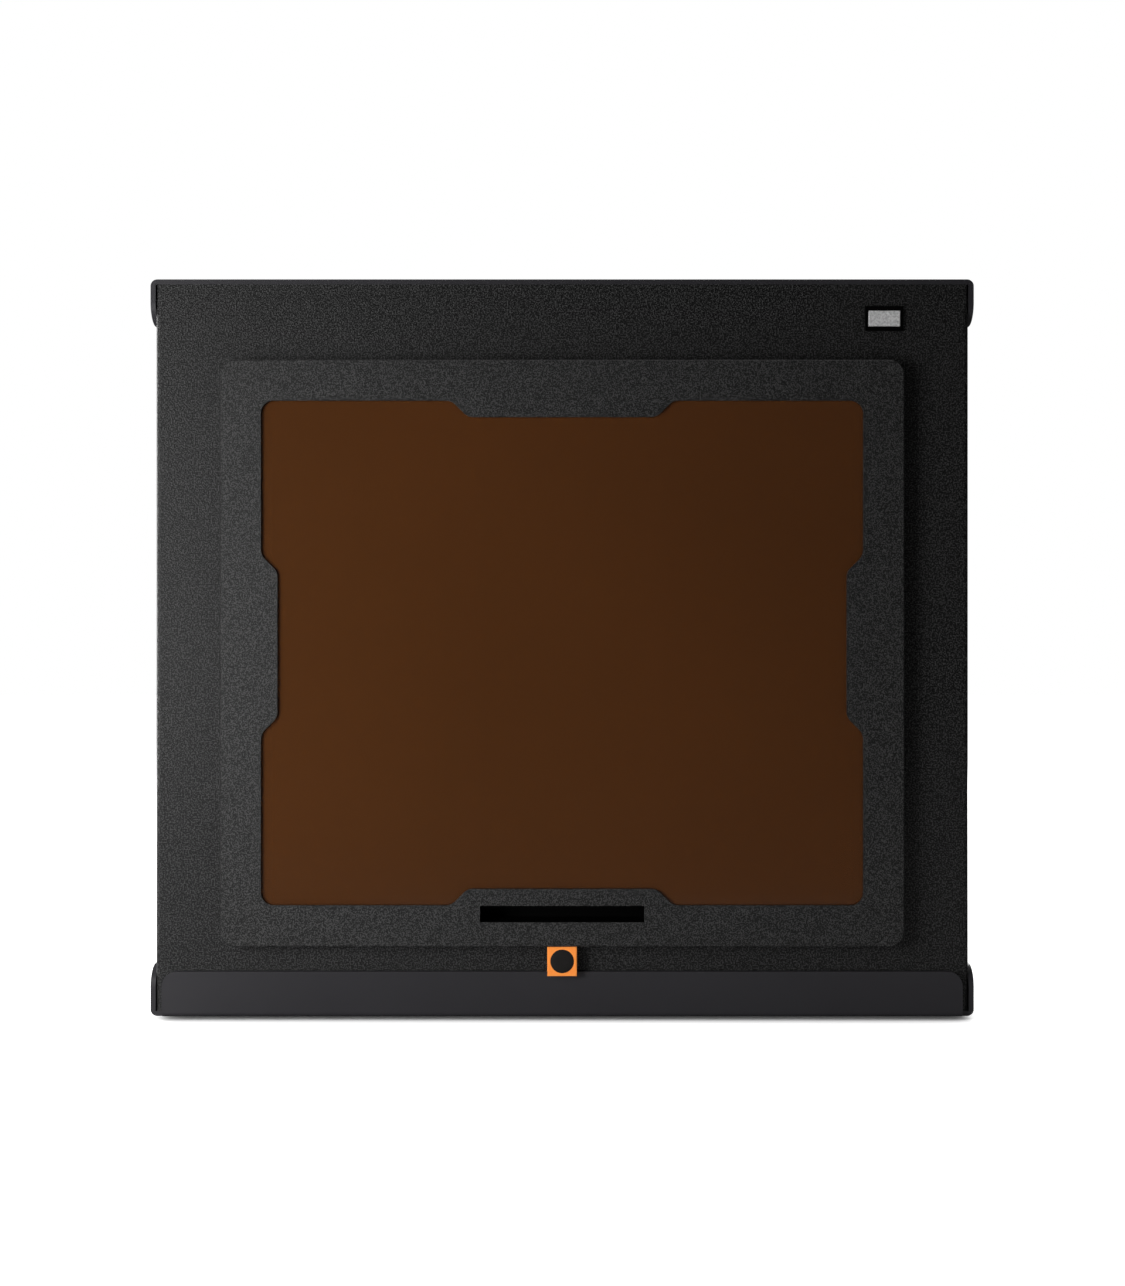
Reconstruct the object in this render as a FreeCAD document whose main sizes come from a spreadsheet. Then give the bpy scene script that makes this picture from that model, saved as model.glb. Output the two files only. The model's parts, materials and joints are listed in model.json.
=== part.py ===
# Front-loading ultraviolet curing chamber for resin prints.
# Millimetres, +Z up, front towards -Y, origin under the middle of the whole object.
import FreeCAD, Part
import math
import os
import Sketcher
from FreeCAD import Placement, Rotation, Vector

SIZES = {
    # Case of folded sheet
    "body_width": 488,
    "body_depth": 440,
    "case_height": 442,
    "cap_sheet": 3,
    "cap_bend": 4,
    "wrap_sheet": 1.5,
    "wrap_bend": 3,
    "cover_flange": 26,
    "tray_flange": 29.4,
    "flange_corner": 12,
    "lip_width": 479.3,
    "lip_height": 27.2,
    "lip_corner": 9,
    "back_flange": 12,
    "flange_screw_inset": 60,
    "fit_clearance": 0.3,
    "foot_height": 2.5,
    "foot_radius": 11,
    "foot_inset": 42,
    # Opening in the front panel
    "opening_width": 348,
    "opening_height": 318,
    "opening_bottom": 54,
    "opening_corner": 8,
    # Flip-up door
    "door_width": 407,
    "door_height": 349,
    "door_bottom": 45.7,
    "door_proud": 10,
    "door_gap": 1.5,
    "door_sheet": 2,
    "door_corner": 9,
    "door_edge": 0.7,
    "window_width": 358,
    "window_height": 300,
    "window_bottom": 70.4,
    "window_corner": 7.5,
    "tab_depth": 9.8,
    "tab_half_width": 61,
    "tab_half_height": 48.1,
    "tab_fillet": 8,
    "side_tab_rise": 5,
    "pane_sheet": 3,
    "pane_margin": 9,
    "slot_width": 97.7,
    "slot_height": 9.8,
    "slot_bottom": 60.3,
    "cup_wall": 1.2,
    "cup_depth": 20,
    "tag_width": 17.6,
    "tag_drop": 17.8,
    "tag_grip": 9,
    "tag_sheet": 1,
    "clamp_sheet": 1.5,
    "clip_width": 16,
    "clip_sheet": 1.2,
    # Hinges behind the top of the door
    "hinge_axis_drop": 3,
    "hinge_axis_back": 5,
    "barrel_radius": 2.7,
    "pin_radius": 1.2,
    "pin_clearance": 0.05,
    "knuckle_length": 13,
    "knuckle_gap": 0.3,
    "leaf_sheet": 1.2,
    "body_leaf_height": 14,
    "door_leaf_height": 11,
    "hinge_spread": 260,
    "catch_width": 24,
    "catch_height": 4.8,
    "catch_spread": 240,
    "bumper_radius": 3.5,
    "bumper_inset": 34,
    "sensor_width": 8,
    "sensor_height": 25,
    "magnet_width": 6,
    "magnet_height": 12,
    "magnet_sheet": 3,
    # Chamber
    "rear_room": 72.5,
    "chamber_height": 355,
    "liner_gap": 6.5,
    "liner_sheet": 1,
    "floor_top": 33,
    "floor_sheet": 1.5,
    "bar_length": 300,
    "bar_width": 16,
    "bar_depth": 8,
    "bar_wall": 1.5,
    "bar_lift": 24,
    "bar_spread": 150,
    "chip_size": 3.6,
    "chip_height": 1.2,
    # Turntable
    "disc_radius": 160,
    "disc_sheet": 3,
    "disc_lift": 7,
    "hub_radius": 22,
    "knob_radius": 8,
    "knob_height": 11.7,
    "knob_dome": 3.4,
    "shaft_radius": 4,
    "washer_sheet": 1.2,
    "motor_radius": 25,
    "motor_height": 20,
    "motor_boss_radius": 8,
    # Push switch in the front panel
    "button_width": 18.9,
    "button_height": 9.3,
    "bezel_width": 22.8,
    "bezel_height": 14.7,
    "bezel_proud": 1.6,
    "button_proud": 2.4,
    "button_inset": 51,
    "button_drop": 23.8,
    "switch_depth": 22,
    "switch_wall": 0.9,
    # Electrics behind the chamber
    "fan_size": 60,
    "fan_depth": 15,
    "fan_inset": 104,
    "fan_drop": 114.5,
    "fan_blade_count": 7,
    "rear_proud": 5,
    "guard_wire": 0.9,
    "inlet_inset": 74,
    "inlet_z": 74,
    "supply_width": 120,
    "supply_depth": 50,
    "supply_height": 42,
    "board_width": 100,
    "board_height": 70,
    "standoff_height": 8,
    "standoff_radius": 3,
    # Fasteners
    "flange_screw_radius": 2,
    "small_screw_radius": 1.5,
    "screw_clearance": 0.15,
}

doc = FreeCAD.newDocument("CuringChamber")
sheet = doc.addObject("Spreadsheet::Sheet", "Sizes")
for row, (alias, number) in enumerate(SIZES.items(), start=1):
    sheet.set(f"A{row}", alias)
    sheet.set(f"B{row}", str(number))
    sheet.setAlias(f"B{row}", alias)
doc.recompute()

nodes = []


class Formula:
    """A number together with the spreadsheet expression that gives it."""

    def __init__(self, number, text):
        self.number = number
        self.text = text

    def __add__(self, other):
        other = formula(other)
        return Formula(self.number + other.number, f"({self.text} + {other.text})")

    def __sub__(self, other):
        other = formula(other)
        return Formula(self.number - other.number, f"({self.text} - {other.text})")

    def __mul__(self, other):
        other = formula(other)
        return Formula(self.number * other.number, f"({self.text} * {other.text})")

    def __truediv__(self, other):
        other = formula(other)
        return Formula(self.number / other.number, f"({self.text} / {other.text})")

    def __neg__(self):
        return Formula(-self.number, f"(0 - {self.text})")

    def __radd__(self, other):
        return formula(other) + self

    def __rsub__(self, other):
        return formula(other) - self

    def __rmul__(self, other):
        return formula(other) * self


def formula(value):
    """Let a plain number stand where a formula is expected."""
    return value if isinstance(value, Formula) else Formula(float(value), repr(float(value)))


def size(alias):
    """A driving dimension, read from the sheet."""
    return Formula(float(sheet.get(alias)), f"Sizes.{alias}")


def bind(thing, name, value):
    """Tie one property of a document object to a formula."""
    thing.setExpression(name, formula(value).text)


def place(thing, corner, rotation=Rotation()):
    """Give an object its rotation and a base point that follows the sheet."""
    thing.Placement = Placement(Vector(*[formula(value).number for value in corner]), rotation)
    for axis, value in zip("xyz", corner):
        bind(thing, f"Placement.Base.{axis}", value)
    return thing


def node(thing, label):
    """Name a finished sub-part and put it on the list of files to write."""
    thing.Label = label
    nodes.append(thing)
    return thing


TURN_TO = {
    "+X": Rotation(Vector(0, 1, 0), 90),
    "-X": Rotation(Vector(0, 1, 0), -90),
    "+Y": Rotation(Vector(1, 0, 0), -90),
    "-Y": Rotation(Vector(1, 0, 0), 90),
    "+Z": Rotation(),
    "-Z": Rotation(Vector(1, 0, 0), 180),
}


def block(length, width, height, corner):
    """A rectangular block from its lowest corner."""
    thing = doc.addObject("Part::Box", "Block")
    bind(thing, "Length", length)
    bind(thing, "Width", width)
    bind(thing, "Height", height)
    return place(thing, corner)


def rod(radius, length, start, towards="+Z"):
    """A round rod that runs from its start point along one axis."""
    thing = doc.addObject("Part::Cylinder", "Rod")
    bind(thing, "Radius", radius)
    bind(thing, "Height", length)
    return place(thing, start, TURN_TO[towards])


def prism(sides, radius, length, start, towards="+Z"):
    """A regular prism over its corner circle, from its start point along one axis."""
    thing = doc.addObject("Part::Prism", "Prism")
    thing.Polygon = sides
    bind(thing, "Circumradius", radius)
    bind(thing, "Height", length)
    return place(thing, start, TURN_TO[towards])


def fuse(pieces):
    """One solid from touching or overlapping pieces."""
    thing = doc.addObject("Part::MultiFuse", "Fusion")
    thing.Shapes = pieces
    thing.Refine = True
    return thing


def group(pieces):
    """Separate solids kept together as one sub-part."""
    thing = doc.addObject("Part::Compound", "Group")
    thing.Links = pieces
    return thing


def cut(base, tools):
    """The base with every tool taken out of it."""
    thing = doc.addObject("Part::Cut", "Cut")
    thing.Base = base
    thing.Tool = tools[0] if len(tools) == 1 else group(tools)
    thing.Refine = True
    return thing


def new_body():
    """An empty body to hold sketches and features."""
    return doc.addObject("PartDesign::Body", "Body")


def origin_plane(owner, role):
    """One of a body's own origin planes."""
    return next(plane for plane in owner.Origin.OriginFeatures if plane.Role == role)


def sketch_on(owner, role, offset=0):
    """An empty sketch on an origin plane, moved along the plane's normal."""
    sketch = owner.newObject("Sketcher::SketchObject", "Sketch")
    sketch.AttachmentSupport = [(origin_plane(owner, role), "")]
    sketch.MapMode = "FlatFace"
    bind(sketch, "AttachmentOffset.Base.z", offset)
    return sketch


def fix_point(sketch, edge, end, point):
    """Hold one end of a sketch edge at a pair of formulas."""
    for kind, value in zip(("DistanceX", "DistanceY"), point):
        index = sketch.addConstraint(Sketcher.Constraint(kind, edge, end, formula(value).number))
        sketch.setExpression(f"Constraints[{index}]", formula(value).text)


def add_polygon(sketch, corners):
    """Draw a closed outline through the corners and bind each of them."""
    points = [Vector(formula(x).number, formula(y).number, 0) for x, y in corners]
    first = sketch.GeometryCount
    count = len(points)
    for index in range(count):
        sketch.addGeometry(Part.LineSegment(points[index], points[(index + 1) % count]), False)
    for index in range(count):
        following = first + (index + 1) % count
        sketch.addConstraint(Sketcher.Constraint("Coincident", first + index, 2, following, 1))
    for index in range(count):
        fix_point(sketch, first + index, 1, corners[index])


def add_circle(sketch, centre, radius):
    """Draw a circle whose centre and radius follow the sheet."""
    spot = Vector(formula(centre[0]).number, formula(centre[1]).number, 0)
    index = sketch.addGeometry(Part.Circle(spot, Vector(0, 0, 1), formula(radius).number), False)
    fix_point(sketch, index, 3, centre)
    ring = sketch.addConstraint(Sketcher.Constraint("Radius", index, formula(radius).number))
    sketch.setExpression(f"Constraints[{ring}]", formula(radius).text)


def rectangle(left, bottom, width, height):
    """The four corners of an upright rectangle."""
    return [(left, bottom), (left + width, bottom), (left + width, bottom + height), (left, bottom + height)]


def pad(owner, sketch, length, backwards=False):
    """Raise a sketch into a solid."""
    feature = owner.newObject("PartDesign::Pad", "Pad")
    feature.Profile = sketch
    feature.Reversed = backwards
    bind(feature, "Length", length)
    return feature


def pocket(owner, sketch, length, backwards=False):
    """Sink a sketch into the solid, and make sure that it takes something away."""
    doc.recompute()
    before = owner.Shape.Volume
    feature = owner.newObject("PartDesign::Pocket", "Pocket")
    feature.Profile = sketch
    feature.Reversed = backwards
    bind(feature, "Length", length)
    doc.recompute()
    if owner.Shape.Volume > before - 1e-6:
        raise RuntimeError(f"{owner.Label}: a pocket cuts nothing")
    return feature


def straight_edges(shape, direction, wanted):
    """Names of the straight edges along a direction whose middle is a wanted one."""
    names = []
    for index, edge in enumerate(shape.Edges, start=1):
        if edge.Curve.TypeId != "Part::GeomLine":
            continue
        if abs(abs(edge.tangentAt(edge.FirstParameter).dot(direction)) - 1) > 1e-6:
            continue
        if wanted(edge.CenterOfMass):
            names.append(f"Edge{index}")
    return names


def fillet(owner, direction, radius, wanted):
    """Round the wanted straight edges of a body's latest shape."""
    doc.recompute()
    latest = owner.Tip
    names = straight_edges(latest.Shape, direction, wanted)
    if not names:
        raise RuntimeError(f"{owner.Label}: no edge to round")
    feature = owner.newObject("PartDesign::Fillet", "Fillet")
    feature.Base = (latest, names)
    bind(feature, "Radius", radius)
    return feature


def chamfer(owner, reach, wanted):
    """Bevel the wanted edges of a body's latest shape."""
    doc.recompute()
    latest = owner.Tip
    edges = enumerate(latest.Shape.Edges, start=1)
    names = [f"Edge{index}" for index, edge in edges if wanted(edge)]
    feature = owner.newObject("PartDesign::Chamfer", "Chamfer")
    feature.Base = (latest, names)
    bind(feature, "Size", reach)
    return feature


def lies_at_depth(edge, depth):
    """Whether a whole edge lies at one depth from front to back."""
    return all(abs(vertex.Point.y - depth.number) < NEAR for vertex in edge.Vertexes)


def lies_at_level(edge, level):
    """Whether a whole edge lies at one height."""
    return all(abs(vertex.Point.z - level.number) < NEAR for vertex in edge.Vertexes)


ALONG_X = Vector(1, 0, 0)
ALONG_Y = Vector(0, 1, 0)
ALONG_Z = Vector(0, 0, 1)
NEAR = 0.01

# Faces and levels that several pieces share
half_width = size("body_width") / 2
total_depth = size("body_depth") + size("door_proud") + size("rear_proud")
front_face = size("door_proud") - total_depth / 2
back_face = front_face + size("body_depth")
panel_back = front_face + size("wrap_sheet")
tray_bottom = size("foot_height")
tray_top = tray_bottom + size("cap_sheet")
case_top = tray_bottom + size("case_height")
cover_bottom = case_top - size("cap_sheet")
flange_face = half_width + size("cap_sheet")
flange_screw_rows = [
    front_face + size("flange_screw_inset"), (front_face + back_face) / 2,
    back_face - size("flange_screw_inset"),
]
cover_screw_level = case_top - size("cover_flange") / 2
tray_screw_level = tray_bottom + size("tray_flange") / 2
FLANGE_SCREW_LENGTH = 8
SCREW_SIDES = 6
NUT_SIDES = 6
SMALL_SIDES = 12
ROUND_SIDES = 20
DISC_SIDES = 72
# Sizes of a fastener as shares of its shank radius
HEAD_SHARE = 1.9
SINK_SHARE = 0.7
NUT_SHARE = 1.7
SIDES = (("-X", 1), ("+X", -1))


def flush_screw(start, towards, radius, length, grow=0):
    """A screw with a sunk head, or the hole for one when it is grown by a clearance."""
    head = prism(SCREW_SIDES, radius * HEAD_SHARE + grow, radius * SINK_SHARE + grow, start, towards)
    return fuse([head, prism(SCREW_SIDES, radius + grow, length, start, towards)])


def screw_hole(start, towards, radius, length):
    """A plain hole with clearance for a screw's shank."""
    return prism(SCREW_SIDES, radius + size("screw_clearance"), length, start, towards)


def flange_screws(level, grow=0):
    """The six countersunk screws, three a side, of one pair of flanges."""
    radius = size("flange_screw_radius")
    return [
        flush_screw((flange_face * side, row, level), towards, radius, FLANGE_SCREW_LENGTH, grow)
        for towards, side in SIDES
        for row in flange_screw_rows
    ]


def at(value, wanted):
    """Whether a coordinate lies on a formula's value."""
    return abs(value - wanted.number) < NEAR


def is_one_of(spot, places):
    """Whether a point lies over one of the given pairs of width and level."""
    return any(abs(spot.x - x) < NEAR and abs(spot.z - z) < NEAR for x, z in places)


def make_top_cover():
    """Flat top with a flange folded down each side."""
    base = new_body()
    flange_foot = case_top - size("cover_flange")
    profile = sketch_on(base, "XZ_Plane", -front_face)
    add_polygon(profile, [
        (-flange_face, flange_foot), (-flange_face, case_top), (flange_face, case_top),
        (flange_face, flange_foot), (half_width, flange_foot), (half_width, cover_bottom),
        (-half_width, cover_bottom), (-half_width, flange_foot),
    ])
    pad(base, profile, size("body_depth"), backwards=True)
    fillet(base, ALONG_Y, size("cap_bend"), lambda spot: at(spot.z, case_top))
    fillet(base, ALONG_X, size("flange_corner"), lambda spot: at(spot.z, flange_foot))
    node(cut(base, flange_screws(cover_screw_level, size("screw_clearance"))), "top_cover")
    node(group(flange_screws(cover_screw_level)), "cover_screws")


LIP_BEND_SHARE = 0.8


def make_base_tray():
    """Floor plate with side flanges and a front lip folded up."""
    base = new_body()
    flange_head = tray_bottom + size("tray_flange")
    lip_head = tray_bottom + size("lip_height")
    lip_front = front_face - size("cap_sheet")
    profile = sketch_on(base, "XZ_Plane", -front_face)
    add_polygon(profile, [
        (-flange_face, tray_bottom), (flange_face, tray_bottom), (flange_face, flange_head),
        (half_width, flange_head), (half_width, tray_top), (-half_width, tray_top),
        (-half_width, flange_head), (-flange_face, flange_head),
    ])
    pad(base, profile, size("body_depth"), backwards=True)
    fillet(base, ALONG_Y, size("cap_bend"), lambda spot: at(spot.z, tray_bottom))
    fillet(base, ALONG_X, size("flange_corner"), lambda spot: at(spot.z, flange_head))
    lip = sketch_on(base, "XZ_Plane", -front_face)
    add_polygon(lip, rectangle(-size("lip_width") / 2, tray_bottom, size("lip_width"), size("lip_height")))
    pad(base, lip, size("cap_sheet"))
    fillet(base, ALONG_Y, size("lip_corner"),
           lambda spot: at(spot.z, lip_head) and spot.y < front_face.number)
    fillet(base, ALONG_X, size("cap_sheet") * LIP_BEND_SHARE,
           lambda spot: at(spot.z, tray_bottom) and at(spot.y, lip_front))
    node(cut(base, flange_screws(tray_screw_level, size("screw_clearance"))), "base_tray")
    node(group(flange_screws(tray_screw_level)), "tray_screws")


def make_feet():
    """Four thin rubber pads under the tray."""
    across = half_width - size("foot_inset")
    rows = (front_face + size("foot_inset"), back_face - size("foot_inset"))
    feet = [
        prism(ROUND_SIDES, size("foot_radius"), size("foot_height"), (across * side, row, 0))
        for side in (-1, 1)
        for row in rows
    ]
    node(group(feet), "rubber_feet")


# The front switch, the fan and the mains inlet, placed once for the holes and for the pieces
button_x = half_width - size("button_inset")
button_z = case_top - size("button_drop")
fan_x = size("fan_inset") - half_width
fan_z = case_top - size("fan_drop")
inlet_x = half_width - size("inlet_inset")
switch_width = size("button_width") + (size("fit_clearance") + size("switch_wall")) * 2
switch_height = size("button_height") + (size("fit_clearance") + size("switch_wall")) * 2
FAN_HOLE_INSET = 5
FAN_WALL = 2
fan_screw_offset = size("fan_size") / 2 - FAN_HOLE_INSET
fan_bore = size("fan_size") / 2 - FAN_WALL
INLET_WIDTH = 27
INLET_HEIGHT = 20
INLET_SCREW_PITCH = 40
SIDE_SCREW_LENGTH = 7
PANEL_SCREW_LENGTH = 6
OPPOSITE = {"+X": "-X", "-X": "+X", "+Y": "-Y", "-Y": "+Y", "+Z": "-Z", "-Z": "+Z"}


def pan_head(start, towards, radius, length):
    """A screw whose low round head lies on the surface at its start."""
    head = prism(SCREW_SIDES, radius * HEAD_SHARE, radius, start, OPPOSITE[towards])
    return fuse([head, prism(SCREW_SIDES, radius, length, start, towards)])


def side_screw_places():
    """Where the back panel's screws enter the side walls."""
    row = back_face - size("back_flange") / 2
    rise = cover_bottom - tray_top
    return [
        ((half_width * side, row, tray_top + rise * share), towards)
        for towards, side in SIDES
        for share in (1 / 6, 1 / 2, 5 / 6)
    ]


def fan_screw_places():
    """The four corners of the fan on the outside of the back panel."""
    return [
        (fan_x + fan_screw_offset * across, back_face, fan_z + fan_screw_offset * up)
        for across in (-1, 1)
        for up in (-1, 1)
    ]


def inlet_screw_places():
    """One screw each side of the mains inlet."""
    return [
        (inlet_x + INLET_SCREW_PITCH / 2 * side, back_face, size("inlet_z"))
        for side in (-1, 1)
    ]


def make_body_wrap():
    """Front panel and both side walls, folded from one sheet."""
    base = new_body()
    wall = size("wrap_sheet")
    plan = sketch_on(base, "XY_Plane", tray_top)
    add_polygon(plan, [
        (-half_width, back_face), (-half_width, front_face),
        (half_width, front_face), (half_width, back_face),
        (half_width - wall, back_face), (half_width - wall, panel_back),
        (wall - half_width, panel_back), (wall - half_width, back_face),
    ])
    pad(base, plan, cover_bottom - tray_top)
    fillet(base, ALONG_Z, size("wrap_bend"), lambda spot: at(spot.y, front_face))
    fillet(base, ALONG_Z, size("wrap_bend") - wall, lambda spot: at(spot.y, panel_back))
    holes = sketch_on(base, "XZ_Plane", -front_face)
    width = size("opening_width")
    add_polygon(holes, rectangle(-width / 2, size("opening_bottom"), width, size("opening_height")))
    gap = size("fit_clearance") / 2
    add_polygon(holes, rectangle(
        button_x - switch_width / 2 - gap, button_z - switch_height / 2 - gap,
        switch_width + gap * 2, switch_height + gap * 2,
    ))
    pocket(base, holes, wall)
    fillet(base, ALONG_Y, size("opening_corner"), lambda spot: abs(abs(spot.x) - width.number / 2) < NEAR)
    clearance = size("screw_clearance")
    drilled = flange_screws(cover_screw_level, clearance) + flange_screws(tray_screw_level, clearance)
    drilled += [screw_hole(spot, "+Y", hinge_screw_radius, HINGE_SCREW_LENGTH)
                for spot in hinge_screw_places()]
    drilled += [screw_hole(spot, towards, size("small_screw_radius"), SIDE_SCREW_LENGTH)
                for spot, towards in side_screw_places()]
    node(cut(base, drilled), "body_wrap")


VENT_COUNT = 9
VENT_PITCH = 12
VENT_WIDTH = 5
VENT_LENGTH = 60


def make_back_panel():
    """Shallow pan between the side walls, with cut-outs for fan, inlet and air."""
    base = new_body()
    wall = size("wrap_sheet")
    left = wall + size("fit_clearance") - half_width
    width = -left * 2
    height = cover_bottom - tray_top
    outline = sketch_on(base, "XZ_Plane", -back_face)
    add_polygon(outline, rectangle(left, tray_top, width, height))
    pad(base, outline, size("back_flange"))
    hollow = sketch_on(base, "XZ_Plane", size("back_flange") - back_face)
    add_polygon(hollow, rectangle(left + wall, tray_top + wall, width - wall * 2, height - wall * 2))
    pocket(base, hollow, size("back_flange") - wall)
    holes = sketch_on(base, "XZ_Plane", -back_face)
    add_circle(holes, (fan_x, fan_z), fan_bore)
    add_polygon(holes, rectangle(
        inlet_x - INLET_WIDTH / 2, size("inlet_z") - INLET_HEIGHT / 2, INLET_WIDTH, INLET_HEIGHT,
    ))
    for slot in range(VENT_COUNT):
        start = fan_x + VENT_PITCH * (slot - (VENT_COUNT - 1) / 2) - VENT_WIDTH / 2
        add_polygon(holes, rectangle(start, size("inlet_z"), VENT_WIDTH, VENT_LENGTH))
    pocket(base, holes, wall, backwards=True)
    radius = size("small_screw_radius")
    drilled = [screw_hole(spot, "-Y", radius, wall * 2) for spot in fan_screw_places() + inlet_screw_places()]
    drilled += [screw_hole(spot, towards, radius, SIDE_SCREW_LENGTH) for spot, towards in side_screw_places()]
    node(cut(base, drilled), "back_panel")
    screws = [pan_head(spot, towards, radius, SIDE_SCREW_LENGTH) for spot, towards in side_screw_places()]
    node(group(screws), "back_panel_screws")


# The door and its hinge line
door_top = size("door_bottom") + size("door_height")
door_front = front_face - size("door_proud")
plate_back = door_front + size("door_sheet")
rim_end = front_face - size("door_gap")
rim_inside = size("door_bottom") + size("door_sheet")
hinge_y = front_face - size("hinge_axis_back")
hinge_z = door_top - size("hinge_axis_drop")
hinge_length = size("knuckle_length") * 3 + size("knuckle_gap") * 2
window_top = size("window_bottom") + size("window_height")
pane_back = plate_back + size("pane_sheet")
pane_bottom = size("window_bottom") - size("pane_margin")
pane_width = size("window_width") + size("pane_margin") * 2
pane_height = size("window_height") + size("pane_margin") * 2
cup_top = size("slot_bottom") + size("slot_height") + size("cup_wall")
hinge_screw_radius = size("small_screw_radius") * 0.75
HINGE_SCREW_LENGTH = 5
HINGE_END_ROOM = 0.9


def hinge_middles():
    """Middle of each of the two hinges along the door's width."""
    return [size("hinge_spread") / 2 * side for side in (-1, 1)]


def hinge_screw_places():
    """Two screws through each leaf that is fixed to the front panel."""
    level = hinge_z - size("body_leaf_height") * 0.6
    return [
        (middle + hinge_length / 4 * side, front_face - size("leaf_sheet"), level)
        for middle in hinge_middles()
        for side in (-1, 1)
    ]


def window_outline():
    """The door's window: a rectangle with a sloped tab standing in from each side."""
    right = size("window_width") / 2
    bottom = size("window_bottom")
    deep = size("tab_depth")
    wide, narrow = size("tab_half_width") + deep / 2, size("tab_half_width") - deep / 2
    tall, short = size("tab_half_height") + deep / 2, size("tab_half_height") - deep / 2
    middle = bottom + size("window_height") / 2 + size("side_tab_rise")
    half = [
        (wide, bottom), (right, bottom), (right, middle - tall), (right - deep, middle - short),
        (right - deep, middle + short), (right, middle + tall), (right, window_top), (wide, window_top),
        (narrow, window_top - deep),
    ]
    start = [(narrow, bottom + deep)]
    mirrored = [(-x, z) for x, z in reversed(start + half)]
    return start + half + mirrored


def make_door_frame():
    """Folded door pan with the shaped window, finger slot, tag slit and hinge notches."""
    base = new_body()
    thick = size("door_sheet")
    left = -size("door_width") / 2
    deep = size("door_proud") - size("door_gap")
    outline = sketch_on(base, "XZ_Plane", -door_front)
    add_polygon(outline, rectangle(left, size("door_bottom"), size("door_width"), size("door_height")))
    pad(base, outline, deep, backwards=True)
    inside = sketch_on(base, "XZ_Plane", -rim_end)
    add_polygon(inside, rectangle(
        left + thick, rim_inside, size("door_width") - thick * 2, size("door_height") - thick * 2,
    ))
    pocket(base, inside, deep - thick, backwards=True)
    for inset in (thick, formula(0)):
        side = size("door_width").number / 2 - inset.number
        fillet(base, ALONG_Y, size("door_corner") - inset, lambda spot: abs(abs(spot.x) - side) < NEAR)
    chamfer(base, size("door_edge"), lambda edge: lies_at_depth(edge, door_front))
    window = sketch_on(base, "XZ_Plane", -door_front)
    add_polygon(window, window_outline())
    pocket(base, window, thick)
    half_window = size("window_width").number / 2
    levels = (size("window_bottom").number, window_top.number)
    corners = [(x, z) for x in (-half_window, half_window) for z in levels]
    tabs = [(x.number, z.number) for x, z in window_outline() if (x.number, z.number) not in corners]
    fillet(base, ALONG_Y, size("window_corner"), lambda spot: is_one_of(spot, corners))
    fillet(base, ALONG_Y, size("tab_fillet"), lambda spot: is_one_of(spot, tabs))
    slot = sketch_on(base, "XZ_Plane", -door_front)
    add_polygon(slot, rectangle(
        -size("slot_width") / 2, size("slot_bottom"), size("slot_width"), size("slot_height"),
    ))
    pocket(base, slot, thick)
    room = size("fit_clearance")
    slit = block(size("tag_width") + room * 2, size("tag_sheet") + room, thick * 3,
                 (-size("tag_width") / 2 - room, plate_back, size("door_bottom") - thick))
    notch = hinge_length + HINGE_END_ROOM * 2
    notches = [
        block(notch, deep, thick * 2, (middle - notch / 2, plate_back, door_top - thick))
        for middle in hinge_middles()
    ]
    node(cut(base, [slit] + notches), "door_frame")


CUP_ROOM = 2


def make_amber_window():
    """Amber acrylic sheet behind the plate, notched round the finger cup."""
    base = new_body()
    right = pane_width / 2
    notch = size("slot_width") / 2 + size("cup_wall") + CUP_ROOM
    notch_top = cup_top + CUP_ROOM / 2
    top = pane_bottom + pane_height
    outline = sketch_on(base, "XZ_Plane", -plate_back)
    add_polygon(outline, [
        (-right, pane_bottom), (-notch, pane_bottom), (-notch, notch_top), (notch, notch_top),
        (notch, pane_bottom), (right, pane_bottom), (right, top), (-right, top),
    ])
    pad(base, outline, size("pane_sheet"), backwards=True)
    fillet(base, ALONG_Y, size("window_corner"),
           lambda spot: abs(abs(spot.x) - right.number) < NEAR)
    node(base, "amber_window")


def centred(length, width, height, middle):
    """A rectangular block round its middle."""
    sizes = (length, width, height)
    corner = [formula(spot) - formula(side) / 2 for spot, side in zip(middle, sizes)]
    return block(length, width, height, corner)


CLIP_FOOT = 6
CLIP_LAP = 5.5
LOW_CLIP_SHARE = 0.65
NUT_HEIGHT = 2


def clip_places():
    """Points on the pane's edge with the outward direction of each holding clip."""
    side_x = pane_width / 2
    top = pane_bottom + pane_height
    places = [
        (side_x * across, size("window_bottom") + size("window_height") * share, across, 0)
        for across in (-1, 1)
        for share in (0.15, 0.5, 0.85)
    ]
    places += [(size("hinge_spread") / 4 * side, top, 0, 1) for side in (-1, 1)]
    places += [(size("catch_spread") * LOW_CLIP_SHARE * side, pane_bottom, 0, -1) for side in (-1, 1)]
    return places


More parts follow.
